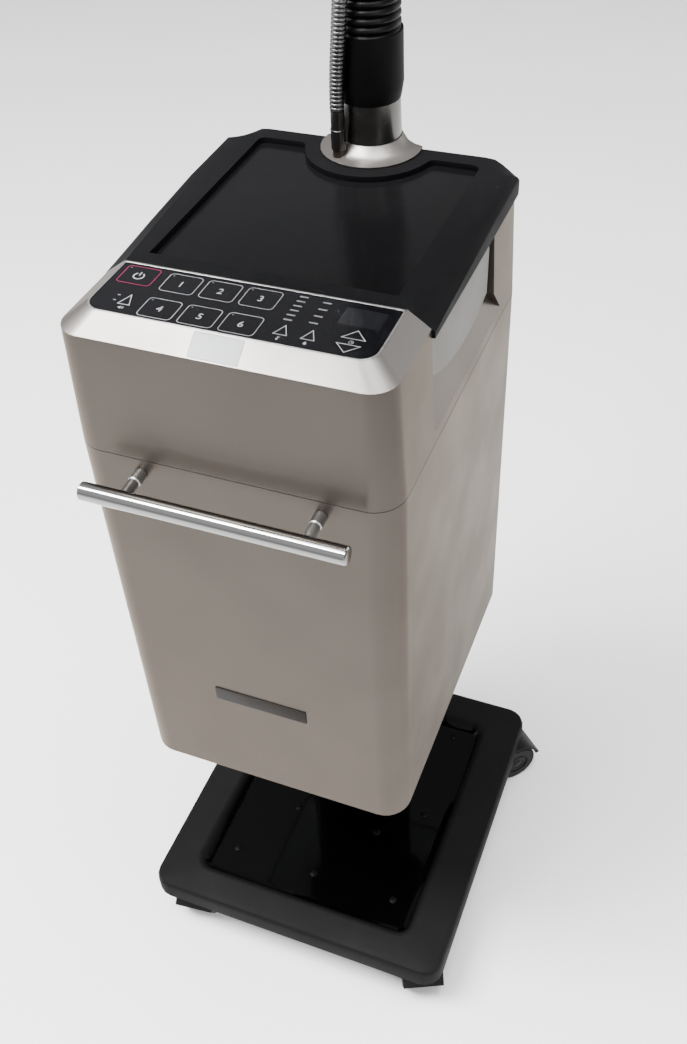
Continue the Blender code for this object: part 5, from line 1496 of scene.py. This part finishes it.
@dataclass
class Hood:
    """Dome hood with its coupling, yoke and soft rim."""

    shop: Workshop
    joints: Sequence[Dict[str, Any]]
    knob_radius: float = 0.0125
    knob_length: float = 0.0130
    knob_from: float = 0.0462
    flutes: int = 12
    flute_depth: float = 0.045

    def build(self) -> None:
        """Dress the hood."""
        self.shop.dress("moulded_black", "hood_coupling", "hood_yoke")
        self.shop.dress("hood_clear", "hood_shell")
        self.shop.dress("soft_rubber", "hood_rim")
        self._knobs()

    def _knobs(self) -> None:
        """Fluted knobs on the ends of the trunnion, which hold the hood's tilt."""
        joint = next(j for j in self.joints if j["name"] == "hood_tilt")
        steps = self.flutes * 4
        rings = []
        for part, grow in ((0.0, 0.86), (0.12, 1.0), (0.80, 1.0), (1.0, 0.80), (1.0, 0.30)):
            ring = []
            for k in range(steps):
                a = 2 * math.pi * k / steps
                radius = self.knob_radius * grow * (1.0 + self.flute_depth * math.cos(self.flutes * a))
                ring.append((radius * math.cos(a), radius * math.sin(a), part * self.knob_length))
            rings.append(ring)
        parts = []
        for way in (-1.0, 1.0):
            turn = Matrix.Rotation(math.radians(90.0 * way), 4, "Y")
            place = Vector(joint["pos_m"]) + Vector((way * self.knob_from, 0.0, 0.0))
            parts.append(MeshKit.moved(MeshKit.loft(rings), Matrix.Translation(place) @ turn))
        knobs = MeshKit.joined(parts)
        self.shop.piece("tilt_knobs", knobs, "moulded_black", Body.ARM.value, Slot.BLACK_PLASTIC)


@dataclass(frozen=True)
class Softbox:
    """A soft light: where it hangs, what it faces, its size, its watts and its turn in degrees."""

    name: str
    place: Point3
    aim: Point3
    size: Point2
    power: float
    turn: float = 0.0

    def hang(self) -> None:
        """Put the light into the scene."""
        lamp = bpy.data.lights.new(self.name, "AREA")
        lamp.shape = "RECTANGLE"
        lamp.size, lamp.size_y = self.size
        lamp.energy = self.power
        holder = bpy.data.objects.new(self.name, lamp)
        holder.location = self.place
        facing = (Vector(self.aim) - Vector(self.place)).to_track_quat("-Z", "Y")
        holder.rotation_euler = (facing @ Quaternion(UP, math.radians(self.turn))).to_euler()
        bpy.context.scene.collection.objects.link(holder)


@dataclass(frozen=True)
class Studio:
    """Floor, soft lights and the camera at the photograph's angle."""

    place: Point3 = (0.40292, -0.87228, 1.56460)
    yaw: float = -23.558
    pitch: float = 42.984
    roll: float = -3.357
    focal_px: float = 1146.66
    centre_px: Point2 = (346.49, 510.52)
    floor_half: float = 40.0
    sky_way: Point3 = (-0.20, -0.45, 0.87)
    sky_span: Range = (0.20, 0.95)
    sky_strength: Range = (0.60, 1.40)
    sky_colour: Colour = (0.98, 0.99, 1.0)
    lights: Tuple[Softbox, ...] = (
        Softbox("softbox_over", (-0.1, -0.5, 3.9), (-0.1, -0.5, 0.0), (3.4, 1.5), 270.0, 24.0),
        Softbox("softbox_front", (-1.3, -1.18, 3.7), (-1.3, -1.18, 0.0), (2.0, 1.1), 400.0),
        Softbox("softbox_left", (-3.0, -0.6, 2.4), (0.0, 0.0, 0.6), (1.6, 2.2), 30.0),
        Softbox("softbox_near_right", (2.3, -1.5, 1.9), (0.0, 0.0, 1.1), (0.9, 1.6), 26.0),
        Softbox("softbox_right", (2.6, 3.0, 1.5), (0.0, 0.0, 0.9), (2.4, 2.4), 55.0),
    )

    def build(self, palette: Palette) -> None:
        """Set up the floor, the lights and the camera.

        Args:
            palette: Finishes, for the floor.
        """
        self._floor(palette)
        self._world()
        for light in self.lights:
            light.hang()
        self._camera()

    def _floor(self, palette: Palette) -> None:
        """Lay the plain pale floor.

        Args:
            palette: Finishes of the scene.
        """
        bm = bmesh.new()
        bmesh.ops.create_grid(bm, x_segments=8, y_segments=8, size=self.floor_half)
        mesh = bpy.data.meshes.new("studio_floor")
        bm.to_mesh(mesh)
        bm.free()
        mesh.materials.append(palette["floor_pale"])
        floor = bpy.data.objects.new("studio_floor", mesh)
        bpy.context.scene.collection.objects.link(floor)
        floor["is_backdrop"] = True

    def _world(self) -> None:
        """Soft light from above and ahead that falls off towards the horizon and the rear."""
        world = bpy.data.worlds.new("studio_world")
        world.use_nodes = True
        tree = world.node_tree
        sky = tree.nodes["Background"]
        place = tree.nodes.new("ShaderNodeTexCoord")
        along = tree.nodes.new("ShaderNodeVectorMath")
        along.operation = "DOT_PRODUCT"
        along.inputs[1].default_value = self.sky_way
        tree.links.new(place.outputs["Generated"], along.inputs[0])
        rise = tree.nodes.new("ShaderNodeMapRange")
        rise.interpolation_type = "SMOOTHSTEP"
        rise.inputs["From Min"].default_value, rise.inputs["From Max"].default_value = self.sky_span
        rise.inputs["To Min"].default_value, rise.inputs["To Max"].default_value = self.sky_strength
        tree.links.new(along.outputs["Value"], rise.inputs["Value"])
        sky.inputs["Color"].default_value = (*self.sky_colour, 1.0)
        tree.links.new(rise.outputs["Result"], sky.inputs["Strength"])
        bpy.context.scene.world = world

    def _camera(self) -> None:
        """Camera where the photograph was taken from."""
        yaw, pitch, roll = (math.radians(v) for v in (self.yaw, self.pitch, self.roll))
        level = math.cos(pitch)
        ahead = Vector((math.sin(yaw) * level, math.cos(yaw) * level, -math.sin(pitch)))
        right = Vector((math.cos(yaw), -math.sin(yaw), 0.0))
        up = right.cross(ahead)
        turned_right = right * math.cos(roll) + up * math.sin(roll)
        turned_up = up * math.cos(roll) - right * math.sin(roll)
        lens = bpy.data.cameras.new("photo_camera")
        lens.sensor_fit = "VERTICAL"
        lens.sensor_height = SENSOR_HEIGHT
        lens.lens = SENSOR_HEIGHT * self.focal_px / PHOTO_HEIGHT
        lens.shift_x = (PHOTO_WIDTH / 2 - self.centre_px[0]) / PHOTO_HEIGHT
        lens.shift_y = (self.centre_px[1] - PHOTO_HEIGHT / 2) / PHOTO_HEIGHT
        camera = bpy.data.objects.new("photo_camera", lens)
        matrix = Matrix((turned_right, turned_up, -ahead)).transposed().to_4x4()
        matrix.translation = Vector(self.place)
        camera.matrix_world = matrix
        bpy.context.scene.collection.objects.link(camera)
        bpy.context.scene.camera = camera


def plain(box: Sequence[Vector]) -> List[List[float]]:
    """Give a box as plain numbers."""
    return [[round(float(v), 5) for v in corner] for corner in box]


def main() -> None:
    """Build the looks of the steamer on its frame."""
    logging.basicConfig(level=logging.INFO, format="%(name)s: %(message)s")
    for obj in list(bpy.data.objects):
        bpy.data.objects.remove(obj, do_unlink=True)
    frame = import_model()
    cad_box = plain(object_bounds())
    palette = Palette().mix()
    shop = Workshop(frame, palette)
    Studio().build(palette)
    joints = frame["joints"]
    parts = (
        Base(shop, joints),
        Cabinet(shop),
        ControlPanel(shop),
        WaterTank(shop),
        HoseArm(shop),
        Hood(shop, joints),
    )
    for part in parts:
        part.build()
    {"cad_box": cad_box, "visual_box": plain(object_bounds())}


if __name__ == "__main__":
    main()
